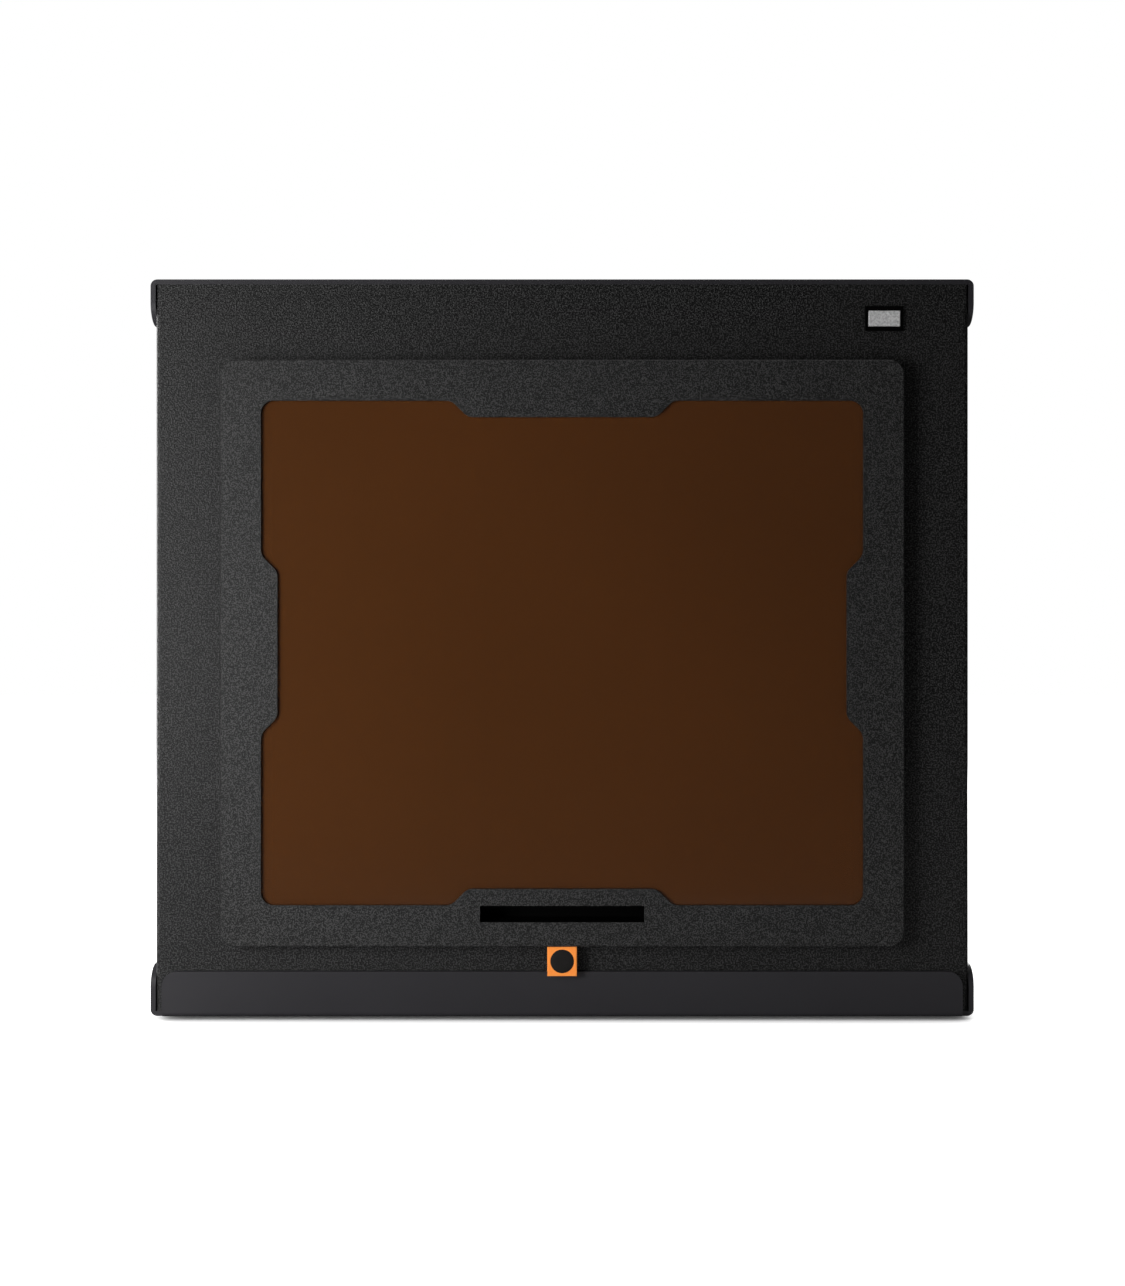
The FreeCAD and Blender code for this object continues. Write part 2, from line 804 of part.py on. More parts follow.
def make_window_clips():
    """Stepped clips that hold the pane, each on a stud with a nut."""
    room = size("fit_clearance")
    wide = size("clip_width")
    arm = room + CLIP_FOOT + CLIP_LAP
    arm_shift = (room + CLIP_FOOT - CLIP_LAP) / 2
    foot_shift = room + CLIP_FOOT / 2
    radius = size("small_screw_radius")
    arm_back = pane_back + size("clip_sheet")
    clips = []
    studs = []
    for x, z, across, up in clip_places():
        foot_x, foot_z = x + foot_shift * across, z + foot_shift * up
        foot = centred(
            CLIP_FOOT if across else wide, size("pane_sheet"), CLIP_FOOT if up else wide,
            (foot_x, (plate_back + pane_back) / 2, foot_z),
        )
        plate = centred(
            arm if across else wide, size("clip_sheet"), arm if up else wide,
            (x + arm_shift * across, (pane_back + arm_back) / 2, z + arm_shift * up),
        )
        seat = (foot_x, plate_back, foot_z)
        clips.append(cut(fuse([foot, plate]), [screw_hole(seat, "+Y", radius, arm_back - plate_back)]))
        stud = prism(SCREW_SIDES, radius, arm_back - plate_back + NUT_HEIGHT, seat, "+Y")
        nut = prism(NUT_SIDES, radius * NUT_SHARE, NUT_HEIGHT, (foot_x, arm_back, foot_z), "+Y")
        studs.append(fuse([stud, nut]))
    node(group(clips), "window_clips")
    node(group(studs), "clip_nuts")


def make_finger_cup():
    """Black moulded cup that closes the finger slot from behind."""
    wall = size("cup_wall")
    deep = size("cup_depth")
    middle_z = size("slot_bottom") + size("slot_height") / 2
    outside = centred(
        size("slot_width") + wall * 2, deep, size("slot_height") + wall * 2,
        (0, plate_back + deep / 2, middle_z),
    )
    hollow = centred(
        size("slot_width"), deep, size("slot_height"), (0, plate_back + deep / 2 - wall, middle_z),
    )
    node(cut(outside, [hollow]), "finger_cup")


CLAMP_LAP = 3
RIM_ROOM = 1


def make_pull_tag():
    """Woven tag that hangs out through the slit, and the plate that holds it."""
    thick = size("tag_sheet")
    low = size("door_bottom") - size("tag_drop")
    high = rim_inside + size("tag_grip")
    tag = block(size("tag_width"), thick, high - low, (-size("tag_width") / 2, plate_back, low))
    node(tag, "pull_tag")
    wide = size("tag_width") + CLAMP_LAP * 2
    clamp = block(wide, size("clamp_sheet"), size("tag_grip") - RIM_ROOM * 2,
                  (-wide / 2, plate_back + thick, rim_inside + RIM_ROOM))
    node(clamp, "tag_clamp")


def knuckle(length, start):
    """A hinge barrel and the bore that goes through it."""
    barrel = prism(ROUND_SIDES, size("barrel_radius"), length, start, "+X")
    bore = rod(size("pin_radius") + size("pin_clearance"), length, start, "+X")
    return barrel, bore


def body_leaf(left):
    """Leaf on the front panel, with the two outer knuckles on webs."""
    long = size("knuckle_length")
    thick = size("leaf_sheet")
    web_low = hinge_z - size("barrel_radius") * 0.7
    web_high = hinge_z + size("barrel_radius") * 0.3
    low = hinge_z - size("body_leaf_height")
    solids = [block(hinge_length, thick, web_high - low, (left, front_face - thick, low))]
    bores = [flush_screw(spot, "+Y", hinge_screw_radius, HINGE_SCREW_LENGTH, size("screw_clearance"))
             for spot in hinge_screw_places()]
    for start in (left, left + (long + size("knuckle_gap")) * 2):
        barrel, bore = knuckle(long, (start, hinge_y, hinge_z))
        web = block(long, front_face - hinge_y, web_high - web_low, (start, hinge_y, web_low))
        solids += [barrel, web]
        bores.append(bore)
    return cut(fuse(solids), bores)


def door_leaf(left):
    """Leaf on the back of the door, with the middle knuckle on a tongue."""
    long = size("knuckle_length")
    thick = size("leaf_sheet")
    step_low = hinge_z - size("barrel_radius") * 1.2
    low = hinge_z - size("door_leaf_height")
    start = left + long + size("knuckle_gap")
    barrel, bore = knuckle(long, (start, hinge_y, hinge_z))
    leaf = block(hinge_length, thick, step_low - low, (left, plate_back, low))
    tongue = block(long, thick, hinge_z - step_low, (start, plate_back, step_low))
    return cut(fuse([leaf, tongue, barrel]), [bore])


def make_hinges():
    """Two concealed three-knuckle hinges: leaves on the panel, leaves on the door, pins and screws."""
    lefts = [middle - hinge_length / 2 for middle in hinge_middles()]
    node(group([body_leaf(left) for left in lefts]), "hinge_body_leaves")
    node(group([door_leaf(left) for left in lefts]), "hinge_door_leaves")
    pins = [rod(size("pin_radius"), hinge_length, (left, hinge_y, hinge_z), "+X") for left in lefts]
    node(group(pins), "hinge_pins")
    screws = [flush_screw(spot, "+Y", hinge_screw_radius, HINGE_SCREW_LENGTH)
              for spot in hinge_screw_places()]
    node(group(screws), "hinge_screws")


def make_door_stops():
    """Magnet catches and bumpers on the front panel, and the sensor pair that feels the door."""
    low = rim_inside + RIM_ROOM
    deep = front_face - plate_back - size("fit_clearance")
    catches = [
        block(size("catch_width"), deep, size("catch_height"),
              (size("catch_spread") / 2 * side - size("catch_width") / 2, front_face - deep, low))
        for side in (-1, 1)
    ]
    node(group(catches), "magnet_catches")
    across = size("door_width") / 2 - size("bumper_radius") - size("door_sheet") / 4
    levels = (size("door_bottom") + size("bumper_inset"), door_top - size("bumper_inset"))
    bumper_height = size("door_gap") - size("fit_clearance")
    bumpers = [
        prism(SMALL_SIDES, size("bumper_radius"), bumper_height, (across * side, front_face, level), "-Y")
        for side in (-1, 1)
        for level in levels
    ]
    node(group(bumpers), "door_bumpers")
    sensor_x = (pane_width / 2 + size("door_width") / 2 - size("door_sheet")) / 2
    sensor_z = size("window_bottom") + size("window_height") / 3
    wide = size("sensor_width")
    sensor = centred(wide, wide, size("sensor_height"), (sensor_x, panel_back + wide / 2, sensor_z))
    node(sensor, "door_sensor")
    thick = size("magnet_sheet")
    magnet = centred(size("magnet_width"), thick, size("magnet_height"),
                     (sensor_x, plate_back + thick / 2, sensor_z))
    node(magnet, "sensor_magnet")


# The chamber box
liner_outside = half_width - size("wrap_sheet") - size("liner_gap")
liner_inside = liner_outside - size("liner_sheet")
chamber_front = panel_back + size("fit_clearance")
chamber_back = back_face - size("rear_room")
box_depth = chamber_back + size("liner_sheet") - chamber_front
chamber_top = size("floor_top") + size("chamber_height")
turn_y = (panel_back + chamber_back) / 2
floor_under = size("floor_top") - size("floor_sheet")
motor_bottom = floor_under - size("motor_height")
MOTOR_SCREW_LENGTH = 8
MOTOR_SCREW_INSET = 7


def motor_screw_places():
    """Three countersunk screws round the turntable motor's boss."""
    reach = size("motor_radius") - MOTOR_SCREW_INSET
    turns = [math.radians(angle) for angle in (90, 210, 330)]
    return [(reach * math.cos(turn), turn_y + reach * math.sin(turn), size("floor_top")) for turn in turns]


def motor_screws(grow=0):
    """The motor's screws, or their holes when grown by a clearance."""
    radius = size("small_screw_radius")
    return [flush_screw(spot, "-Z", radius, MOTOR_SCREW_LENGTH, grow) for spot in motor_screw_places()]


def make_chamber_floor():
    """Raised floor whose flanges stand on the tray."""
    base = new_body()
    thick = size("floor_sheet")
    outline = sketch_on(base, "XY_Plane", tray_top)
    add_polygon(outline, rectangle(-liner_outside, chamber_front, liner_outside * 2, box_depth))
    pad(base, outline, size("floor_top") - tray_top)
    hollow = sketch_on(base, "XY_Plane", tray_top)
    add_polygon(hollow, rectangle(
        thick - liner_outside, chamber_front + thick, liner_outside * 2 - thick * 2, box_depth - thick * 2,
    ))
    pocket(base, hollow, floor_under - tray_top, backwards=True)
    hole = sketch_on(base, "XY_Plane", floor_under)
    add_circle(hole, (0, turn_y), size("motor_boss_radius") + size("fit_clearance"))
    pocket(base, hole, thick, backwards=True)
    node(cut(base, motor_screws(size("screw_clearance"))), "chamber_floor")


def make_liners():
    """Flat reflector sheets that line the chamber."""
    thick = size("liner_sheet")
    low = size("floor_top")
    tall = size("chamber_height")
    node(block(thick, box_depth, tall, (-liner_outside, chamber_front, low)), "liner_left")
    node(block(thick, box_depth, tall, (liner_inside, chamber_front, low)), "liner_right")
    node(block(liner_inside * 2, thick, tall, (-liner_inside, chamber_back, low)), "liner_back")
    top = block(liner_outside * 2, box_depth, thick, (-liner_outside, chamber_front, chamber_top))
    node(top, "liner_top")


def on_wall(wall, along, off, deep, wide, tall, level):
    """A block on a chamber wall: its middle along the wall, its distance off it and its level."""
    middle = formula(off) + formula(deep) / 2
    if wall == "back":
        return centred(wide, deep, tall, (along, chamber_back - middle, level))
    side = -1 if wall == "left" else 1
    return centred(deep, wide, tall, ((liner_inside - middle) * side, turn_y + along, level))


CHIPS_PER_BAR = 8


def make_led_bars():
    """Six upright lamp channels, two on each closed wall, with their light chips."""
    wall = size("bar_wall")
    level = size("floor_top") + size("bar_lift") + size("bar_length") / 2
    chips = []
    for name in ("left", "right", "back"):
        for number, side in enumerate((-1, 1), start=1):
            along = size("bar_spread") / 2 * side
            outside = on_wall(name, along, 0, size("bar_depth"), size("bar_width"), size("bar_length"), level)
            groove = on_wall(name, along, wall, size("bar_depth"), size("bar_width") - wall * 2,
                             size("bar_length") * 1.1, level)
            node(cut(outside, [groove]), f"led_bar_{name}_{number}")
            for chip in range(CHIPS_PER_BAR):
                rise = size("bar_length") / CHIPS_PER_BAR * (chip - (CHIPS_PER_BAR - 1) / 2)
                chips.append(on_wall(name, along, wall, size("chip_height"), size("chip_size"),
                                     size("chip_size"), level + rise))
    node(group(chips), "led_emitters")


# Turntable levels
disc_under = size("floor_top") + size("disc_lift")
disc_top = disc_under + size("disc_sheet")
SHAFT_END_ROOM = 5
shaft_low = motor_bottom + SHAFT_END_ROOM
shaft_high = disc_top
bore_radius = size("shaft_radius") + size("pin_clearance")
hub_low = size("floor_top") + size("washer_sheet") + size("fit_clearance")


def make_turntable():
    """Disc, hub, knob and shaft, which turn together on the motor."""
    disc = prism(DISC_SIDES, size("disc_radius"), size("disc_sheet"), (0, turn_y, disc_under))
    disc_bore = rod(bore_radius, size("disc_sheet"), (0, turn_y, disc_under))
    node(cut(disc, [disc_bore]), "turntable_disc")
    hub = prism(ROUND_SIDES, size("hub_radius"), disc_under - hub_low, (0, turn_y, hub_low))
    hub_bore = rod(bore_radius, disc_under - hub_low, (0, turn_y, hub_low))
    node(cut(hub, [hub_bore]), "turntable_hub")
    knob = new_body()
    knob.BaseFeature = prism(ROUND_SIDES, size("knob_radius"), size("knob_height"), (0, 0, 0))
    chamfer(knob, size("knob_dome"), lambda edge: lies_at_level(edge, size("knob_height")))
    place(knob, (0, turn_y, disc_top))
    node(knob, "centre_knob")
    shaft = prism(ROUND_SIDES, size("shaft_radius"), shaft_high - shaft_low, (0, turn_y, shaft_low))
    node(shaft, "output_shaft")


def make_turntable_motor():
    """Flat gear motor hung under the chamber floor, and the washer that carries the hub."""
    boss = size("motor_boss_radius")
    foot = (0, turn_y, motor_bottom)
    can = prism(ROUND_SIDES, size("motor_radius"), size("motor_height"), foot)
    neck = prism(ROUND_SIDES, boss, size("floor_top") - motor_bottom, foot)
    bore_low = shaft_low - size("fit_clearance")
    bore = rod(bore_radius, size("floor_top") - bore_low, (0, turn_y, bore_low))
    node(cut(fuse([can, neck]), [bore] + motor_screws(size("screw_clearance"))), "turntable_motor")
    node(group(motor_screws()), "motor_screws")
    seat = (0, turn_y, size("floor_top"))
    ring = prism(ROUND_SIDES, size("hub_radius") * 0.7, size("washer_sheet"), seat)
    hole = prism(ROUND_SIDES, boss + size("fit_clearance"), size("washer_sheet"), seat)
    node(cut(ring, [hole]), "thrust_washer")


BUTTON_ROUND = 0.5
BUTTON_BEVEL = 0.4
SWITCH_FLOOR_SHARE = 3


def make_switch():
    """Push switch: a housing with its bezel in the front panel, and the cap that travels."""
    x, z = button_x, button_z
    room = size("fit_clearance")
    proud = size("bezel_proud")
    deep = size("switch_depth")
    bezel = centred(size("bezel_width"), proud, size("bezel_height"), (x, front_face - proud / 2, z))
    case = centred(switch_width, deep, switch_height, (x, front_face + deep / 2, z))
    hollow_deep = proud + deep - size("switch_wall") * SWITCH_FLOOR_SHARE
    hollow = centred(
        size("button_width") + room * 2, hollow_deep, size("button_height") + room * 2,
        (x, front_face - proud + hollow_deep / 2, z),
    )
    node(cut(fuse([bezel, case]), [hollow]), "switch_housing")
    cap = new_body()
    cap_front = front_face - size("button_proud")
    outline = sketch_on(cap, "XZ_Plane", -cap_front)
    wide, tall = size("button_width"), size("button_height")
    add_polygon(outline, rectangle(x - wide / 2, z - tall / 2, wide, tall))
    pad(cap, outline, deep / 2, backwards=True)
    fillet(cap, ALONG_Y, BUTTON_ROUND, lambda spot: True)
    chamfer(cap, BUTTON_BEVEL, lambda edge: lies_at_depth(edge, cap_front))
    node(cap, "power_button")


# Fan behind the back panel
panel_inside = back_face - size("wrap_sheet")
fan_start = panel_inside - size("fan_depth")
fan_hub = size("fan_size") / 5
fan_pin = size("fan_size") / 30
FAN_STRUT = 3
BLADE_THICK = 1.5
BLADE_PITCH_SHIFT = 3
BLADE_ROOT_SHARE = 0.8
BLADE_TIP_ROOM = 1.5
GUARD_SHEET = 1.2


def fan_middle(y):
    """The fan's axis at one depth."""
    return (fan_x, y, fan_z)


def make_fan():
    """Square frame of the axial fan, with crossed struts and the rotor's pin."""
    side = size("fan_size")
    deep = size("fan_depth")
    frame = centred(side, deep, side, fan_middle(fan_start + deep / 2))
    reach = back_face - fan_start
    drilled = [screw_hole(spot, "-Y", size("small_screw_radius"), reach) for spot in fan_screw_places()]
    ring = cut(frame, [prism(ROUND_SIDES, fan_bore, deep, fan_middle(fan_start), "+Y")] + drilled)
    span = fan_bore * 2 + FAN_WALL / 2
    struts = [
        centred(span, FAN_STRUT, FAN_STRUT, fan_middle(fan_start + FAN_STRUT / 2)),
        centred(FAN_STRUT, FAN_STRUT, span, fan_middle(fan_start + FAN_STRUT / 2)),
        prism(ROUND_SIDES, fan_hub, FAN_STRUT, fan_middle(fan_start), "+Y"),
        prism(SMALL_SIDES, fan_pin, deep - FAN_STRUT, fan_middle(fan_start), "+Y"),
    ]
    node(fuse([ring] + struts), "fan_frame")


def make_fan_rotor():
    """Hub that turns on the fan's pin, with slanted blades in a ring."""
    rotor = new_body()
    tall = size("fan_depth") - FAN_STRUT * 2
    disc = sketch_on(rotor, "XY_Plane")
    add_circle(disc, (0, 0), fan_hub)
    add_circle(disc, (0, 0), fan_pin + size("pin_clearance"))
    pad(rotor, disc, tall)
    root = fan_hub * BLADE_ROOT_SHARE
    blade = sketch_on(rotor, "YZ_Plane", root)
    add_polygon(blade, [
        (-BLADE_PITCH_SHIFT - BLADE_THICK, 0), (-BLADE_PITCH_SHIFT, 0),
        (BLADE_PITCH_SHIFT + BLADE_THICK, tall), (BLADE_PITCH_SHIFT, tall),
    ])
    vane = pad(rotor, blade, fan_bore - root - BLADE_TIP_ROOM)
    vanes = rotor.newObject("PartDesign::PolarPattern", "Vanes")
    vanes.Originals = [vane]
    vanes.Axis = (disc, ["N_Axis"])
    vanes.Angle = 360
    bind(vanes, "Occurrences", size("fan_blade_count"))
    rotor.Tip = vanes
    place(rotor, fan_middle(fan_start + FAN_STRUT + size("fit_clearance")), TURN_TO["+Y"])
    node(rotor, "fan_rotor")


def make_fan_guard():
    """Moulded guard: a collar on the back panel with a grille of rings and bars."""
    proud = size("rear_proud")
    side = size("fan_size")
    grille = proud - GUARD_SHEET
    plate = centred(side, GUARD_SHEET, side, fan_middle(back_face + GUARD_SHEET / 2))
    middle = fan_middle(back_face)
    collar = prism(ROUND_SIDES, fan_bore + GUARD_SHEET, proud, middle, "+Y")
    holes = [screw_hole(spot, "+Y", size("small_screw_radius"), proud) for spot in fan_screw_places()]
    shell = cut(fuse([plate, collar]), [prism(ROUND_SIDES, fan_bore, proud, middle, "+Y")] + holes)
    rings = []
    for share in (0.3, 0.6):
        radius = fan_bore * share
        start = fan_middle(back_face + grille)
        outer = prism(ROUND_SIDES, radius + size("guard_wire"), GUARD_SHEET, start, "+Y")
        inner = prism(ROUND_SIDES, radius - size("guard_wire"), GUARD_SHEET, start, "+Y")
        rings.append(cut(outer, [inner]))
    bar = size("guard_wire") * 2
    level = fan_middle(back_face + grille + GUARD_SHEET / 2)
    span = fan_bore * 2 + GUARD_SHEET
    bars = [centred(span, GUARD_SHEET, bar, level), centred(bar, GUARD_SHEET, span, level)]
    node(fuse([shell] + rings + bars), "fan_guard")
    length = GUARD_SHEET + size("wrap_sheet") + size("fan_depth")
    screws = [pan_head((x, y + GUARD_SHEET, z), "-Y", size("small_screw_radius"), length)
              for x, y, z in fan_screw_places()]
    node(group(screws), "fan_screws")


INLET_FLANGE_WIDTH = 50
INLET_FLANGE_HEIGHT = 24
INLET_FLANGE = 3
INLET_DEPTH = 20
INLET_CAVITY = 16
INLET_RIM = 2.5
PIN_LENGTH = 11
PIN_WIDTH = 2
PIN_PITCH = 7


def make_inlet():
    """Three-pin mains inlet in the back panel, with its pins and screws."""
    x, z = inlet_x, size("inlet_z")
    flange = centred(INLET_FLANGE_WIDTH, INLET_FLANGE, INLET_FLANGE_HEIGHT,
                     (x, back_face + INLET_FLANGE / 2, z))
    room = size("fit_clearance")
    case = centred(INLET_WIDTH - room, INLET_DEPTH, INLET_HEIGHT - room, (x, back_face - INLET_DEPTH / 2, z))
    mouth = back_face + INLET_FLANGE
    cavity = centred(INLET_WIDTH - INLET_RIM * 2, INLET_CAVITY, INLET_HEIGHT - INLET_RIM * 2,
                     (x, mouth - INLET_CAVITY / 2, z))
    screw_seats = [(hole_x, mouth, hole_z) for hole_x, y, hole_z in inlet_screw_places()]
    holes = [screw_hole(seat, "-Y", size("small_screw_radius"), INLET_FLANGE) for seat in screw_seats]
    node(cut(fuse([flange, case]), [cavity] + holes), "power_inlet")
    pin_y = mouth - INLET_CAVITY + PIN_LENGTH / 2
    pins = [
        centred(PIN_WIDTH, PIN_LENGTH, PIN_WIDTH * 2, (x + PIN_PITCH * across, pin_y, z + PIN_WIDTH * up))
        for across, up in ((-1, -1), (1, -1), (0, 1))
    ]
    node(group(pins), "inlet_pins")
    screws = [pan_head(seat, "-Y", size("small_screw_radius"), PANEL_SCREW_LENGTH) for seat in screw_seats]
    node(group(screws), "inlet_screws")


BOARD_SHEET = 1.6
BOARD_LEVEL = 220
STANDOFF_SPREAD = 0.44
# Side, height and place across of the larger components, as shares of the board's width, and place up it
BOARD_CHIPS = ((0.14, 0.1, -0.33, 0.28), (0.2, 0.03, 0, 0), (0.12, 0.14, 0.33, -0.26))


def make_electronics():
    """Control board on standoffs behind the chamber, and the power supply on the tray."""
    wide, tall = size("board_width"), size("board_height")
    board_back = panel_inside - size("standoff_height")
    board_front = board_back - BOARD_SHEET
    board = centred(wide, BOARD_SHEET, tall, (0, board_back - BOARD_SHEET / 2, BOARD_LEVEL))
    chips = [
        centred(wide * side, wide * height, wide * side,
                (wide * across, board_front - wide * height / 2, tall * up + BOARD_LEVEL))
        for side, height, across, up in BOARD_CHIPS
    ]
    node(fuse([board] + chips), "control_board")
    standoffs = [
        prism(NUT_SIDES, size("standoff_radius"), size("standoff_height"),
              (wide * across, board_back, tall * up + BOARD_LEVEL), "+Y")
        for across in (-STANDOFF_SPREAD, STANDOFF_SPREAD)
        for up in (-STANDOFF_SPREAD, STANDOFF_SPREAD)
    ]
    node(group(standoffs), "board_standoffs")
    deep = size("supply_depth")
    back_room = (chamber_back + size("liner_sheet") + back_face - size("back_flange")) / 2
    supply = block(size("supply_width"), deep, size("supply_height"), (0, back_room - deep / 2, tray_top))
    node(supply, "power_supply")


def check_and_write():
    """Stop if anything failed, then write each sub-part."""
    doc.recompute()
    for thing in doc.Objects:
        if "Invalid" in thing.State or "Error" in thing.State:
            raise RuntimeError(f"{thing.Name} ({thing.Label}) did not build: {thing.State}")
    for thing in nodes:
        if thing.Shape.isNull() or not thing.Shape.isValid():
            raise RuntimeError(f"{thing.Label} has no valid shape")
    os.makedirs("parts", exist_ok=True)
    for thing in nodes:
        thing.Shape.exportStep(f"parts/{thing.Label}.step")
    print(f"{len(nodes)} sub-parts written")


make_top_cover()
make_base_tray()
make_feet()
make_body_wrap()
make_back_panel()
make_door_frame()
make_amber_window()
make_window_clips()
make_finger_cup()
make_pull_tag()
make_hinges()
make_door_stops()
make_chamber_floor()
make_liners()
make_led_bars()
make_turntable()
make_turntable_motor()
make_switch()
make_fan()
make_fan_rotor()
make_fan_guard()
make_inlet()
make_electronics()
check_and_write()
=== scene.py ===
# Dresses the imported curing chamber: finishes, woven tag, turned details, light and camera.
# Metres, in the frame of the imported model: +Z up, front towards -Y.
import json
import math
import bmesh
import bpy
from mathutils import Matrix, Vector


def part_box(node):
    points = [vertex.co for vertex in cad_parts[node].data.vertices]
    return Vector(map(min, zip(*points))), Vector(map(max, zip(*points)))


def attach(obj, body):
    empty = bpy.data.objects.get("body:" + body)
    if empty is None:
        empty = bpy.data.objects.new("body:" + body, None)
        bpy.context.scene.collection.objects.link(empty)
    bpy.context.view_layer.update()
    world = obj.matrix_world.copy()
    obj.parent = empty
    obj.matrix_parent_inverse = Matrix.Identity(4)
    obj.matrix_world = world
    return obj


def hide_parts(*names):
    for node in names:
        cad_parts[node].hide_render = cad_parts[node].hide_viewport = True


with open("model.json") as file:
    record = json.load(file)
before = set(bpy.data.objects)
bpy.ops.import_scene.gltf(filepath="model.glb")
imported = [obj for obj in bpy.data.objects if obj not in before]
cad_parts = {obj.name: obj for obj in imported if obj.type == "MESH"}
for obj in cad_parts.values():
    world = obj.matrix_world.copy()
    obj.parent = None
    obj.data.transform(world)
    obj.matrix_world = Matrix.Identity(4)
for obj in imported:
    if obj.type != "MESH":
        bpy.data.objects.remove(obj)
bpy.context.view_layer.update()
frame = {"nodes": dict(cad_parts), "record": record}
nodes = frame["nodes"]
scene = bpy.context.scene
scene.view_settings.view_transform = "Standard"
MM = 0.001


def linear(hex_colour):
    """An sRGB hex colour as the linear RGBA that shaders take."""
    shares = [int(hex_colour[start:start + 2], 16) / 255 for start in (1, 3, 5)]
    light = [share / 12.92 if share <= 0.04045 else ((share + 0.055) / 1.055) ** 2.4 for share in shares]
    return light + [1.0]


def per_metre(millimetres):
    """The texture scale that fits one feature into a real size."""
    return 1 / (millimetres * MM)


def add_node(tree, kind, settings, links=()):
    """Add one shader node, set its sockets and properties, and link its inputs."""
    node = tree.nodes.new(kind)
    for name, value in settings.items():
        if isinstance(name, int) or name in node.inputs:
            node.inputs[name].default_value = value
        else:
            setattr(node, name, value)
    for socket, (source, output) in dict(links).items():
        tree.links.new(source.outputs[output], node.inputs[socket])
    return node


def new_material(name):
    """An empty node material and its tree."""
    material = bpy.data.materials.new(name)
    material.use_nodes = True
    material.node_tree.nodes.clear()
    return material, material.node_tree


# Sockets of a mix node that blends colours: the colour at factor 0, the one at factor 1, and the result
LOW, HIGH, BLEND = 6, 7, 2


def sanded_powder_coat(name, dark, light, grit_mm, relief_mm):
    """Fine-textured powder coat on steel: a dry sandy black whose grains catch the light one by one."""
    material, tree = new_material(name)
    places = add_node(tree, "ShaderNodeTexCoord", {})
    # The real grit is near 0.3 mm, drawn coarser so that it shows at the render's size
    grit = add_node(tree, "ShaderNodeTexNoise", {
        "Scale": per_metre(grit_mm), "Detail": 0.6, "Roughness": 0.6,
    }, {"Vector": (places, "Object")})
    patches = add_node(tree, "ShaderNodeTexNoise", {"Scale": per_metre(70), "Detail": 2.0},
                       {"Vector": (places, "Object")})
    peaks = add_node(tree, "ShaderNodeMapRange", {"From Min": 0.45, "From Max": 0.66},
                     {"Value": (grit, "Fac")})
    colour = add_node(tree, "ShaderNodeMix", {"data_type": "RGBA", LOW: linear(dark), HIGH: linear(light)},
                      {"Factor": (peaks, "Result")})
    rough = add_node(tree, "ShaderNodeMapRange", {"To Min": 0.48, "To Max": 0.58},
                     {"Value": (patches, "Fac")})
    bumps = add_node(tree, "ShaderNodeBump", {"Strength": 1.0, "Distance": relief_mm * MM},
                     {"Height": (grit, "Fac")})
    coat = add_node(tree, "ShaderNodeBsdfPrincipled", {"Specular IOR Level": 0.21}, {
        "Base Color": (colour, BLEND), "Roughness": (rough, "Result"), "Normal": (bumps, "Normal"),
    })
    add_node(tree, "ShaderNodeOutputMaterial", {}, {"Surface": (coat, "BSDF")})
    return material


def satin_powder_coat():
    """Smooth powder coat on steel: even satin black with the faint orange peel of a baked film."""
    material, tree = new_material("satin_powder_coat")
    places = add_node(tree, "ShaderNodeTexCoord", {})
    peel = add_node(tree, "ShaderNodeTexNoise", {"Scale": per_metre(2.5), "Detail": 1.0},
                    {"Vector": (places, "Object")})
    patches = add_node(tree, "ShaderNodeTexNoise", {"Scale": per_metre(90), "Detail": 3.0},
                       {"Vector": (places, "Object")})
    colour = add_node(tree, "ShaderNodeMix", {
        "data_type": "RGBA", LOW: linear("#252427"), HIGH: linear("#2b2a2d"),
    }, {"Factor": (patches, "Fac")})
    rough = add_node(tree, "ShaderNodeMapRange", {"To Min": 0.38, "To Max": 0.5},
                     {"Value": (patches, "Fac")})
    bumps = add_node(tree, "ShaderNodeBump", {"Strength": 0.06, "Distance": 0.1 * MM},
                     {"Height": (peel, "Fac")})
    coat = add_node(tree, "ShaderNodeBsdfPrincipled", {"Specular IOR Level": 0.2}, {
        "Base Color": (colour, BLEND), "Roughness": (rough, "Result"), "Normal": (bumps, "Normal"),
    })
    add_node(tree, "ShaderNodeOutputMaterial", {}, {"Surface": (coat, "BSDF")})
    return material


def worked_metal(name, dark, light, rough_range, grain_mm, stretch):
    """Plated, rolled or drawn metal: fine streaks along one axis that spread the highlight."""
    material, tree = new_material(name)
    places = add_node(tree, "ShaderNodeTexCoord", {})
    # Real streaks are a few hundredths of a millimetre wide, drawn coarser so that they show
    drawn = add_node(tree, "ShaderNodeMapping", {"Scale": stretch}, {"Vector": (places, "Object")})
    streaks = add_node(tree, "ShaderNodeTexNoise", {"Scale": per_metre(grain_mm), "Detail": 3.0},
                       {"Vector": (drawn, "Vector")})
    colour = add_node(tree, "ShaderNodeMix", {"data_type": "RGBA", LOW: linear(dark), HIGH: linear(light)},
                      {"Factor": (streaks, "Fac")})
    rough = add_node(tree, "ShaderNodeMapRange", {"To Min": rough_range[0], "To Max": rough_range[1]},
                     {"Value": (streaks, "Fac")})
    bumps = add_node(tree, "ShaderNodeBump", {"Strength": 0.05, "Distance": 0.05 * MM},
                     {"Height": (streaks, "Fac")})
    metal = add_node(tree, "ShaderNodeBsdfPrincipled", {"Metallic": 1.0}, {
        "Base Color": (colour, BLEND), "Roughness": (rough, "Result"), "Normal": (bumps, "Normal"),
    })
    add_node(tree, "ShaderNodeOutputMaterial", {}, {"Surface": (metal, "BSDF")})
    return material


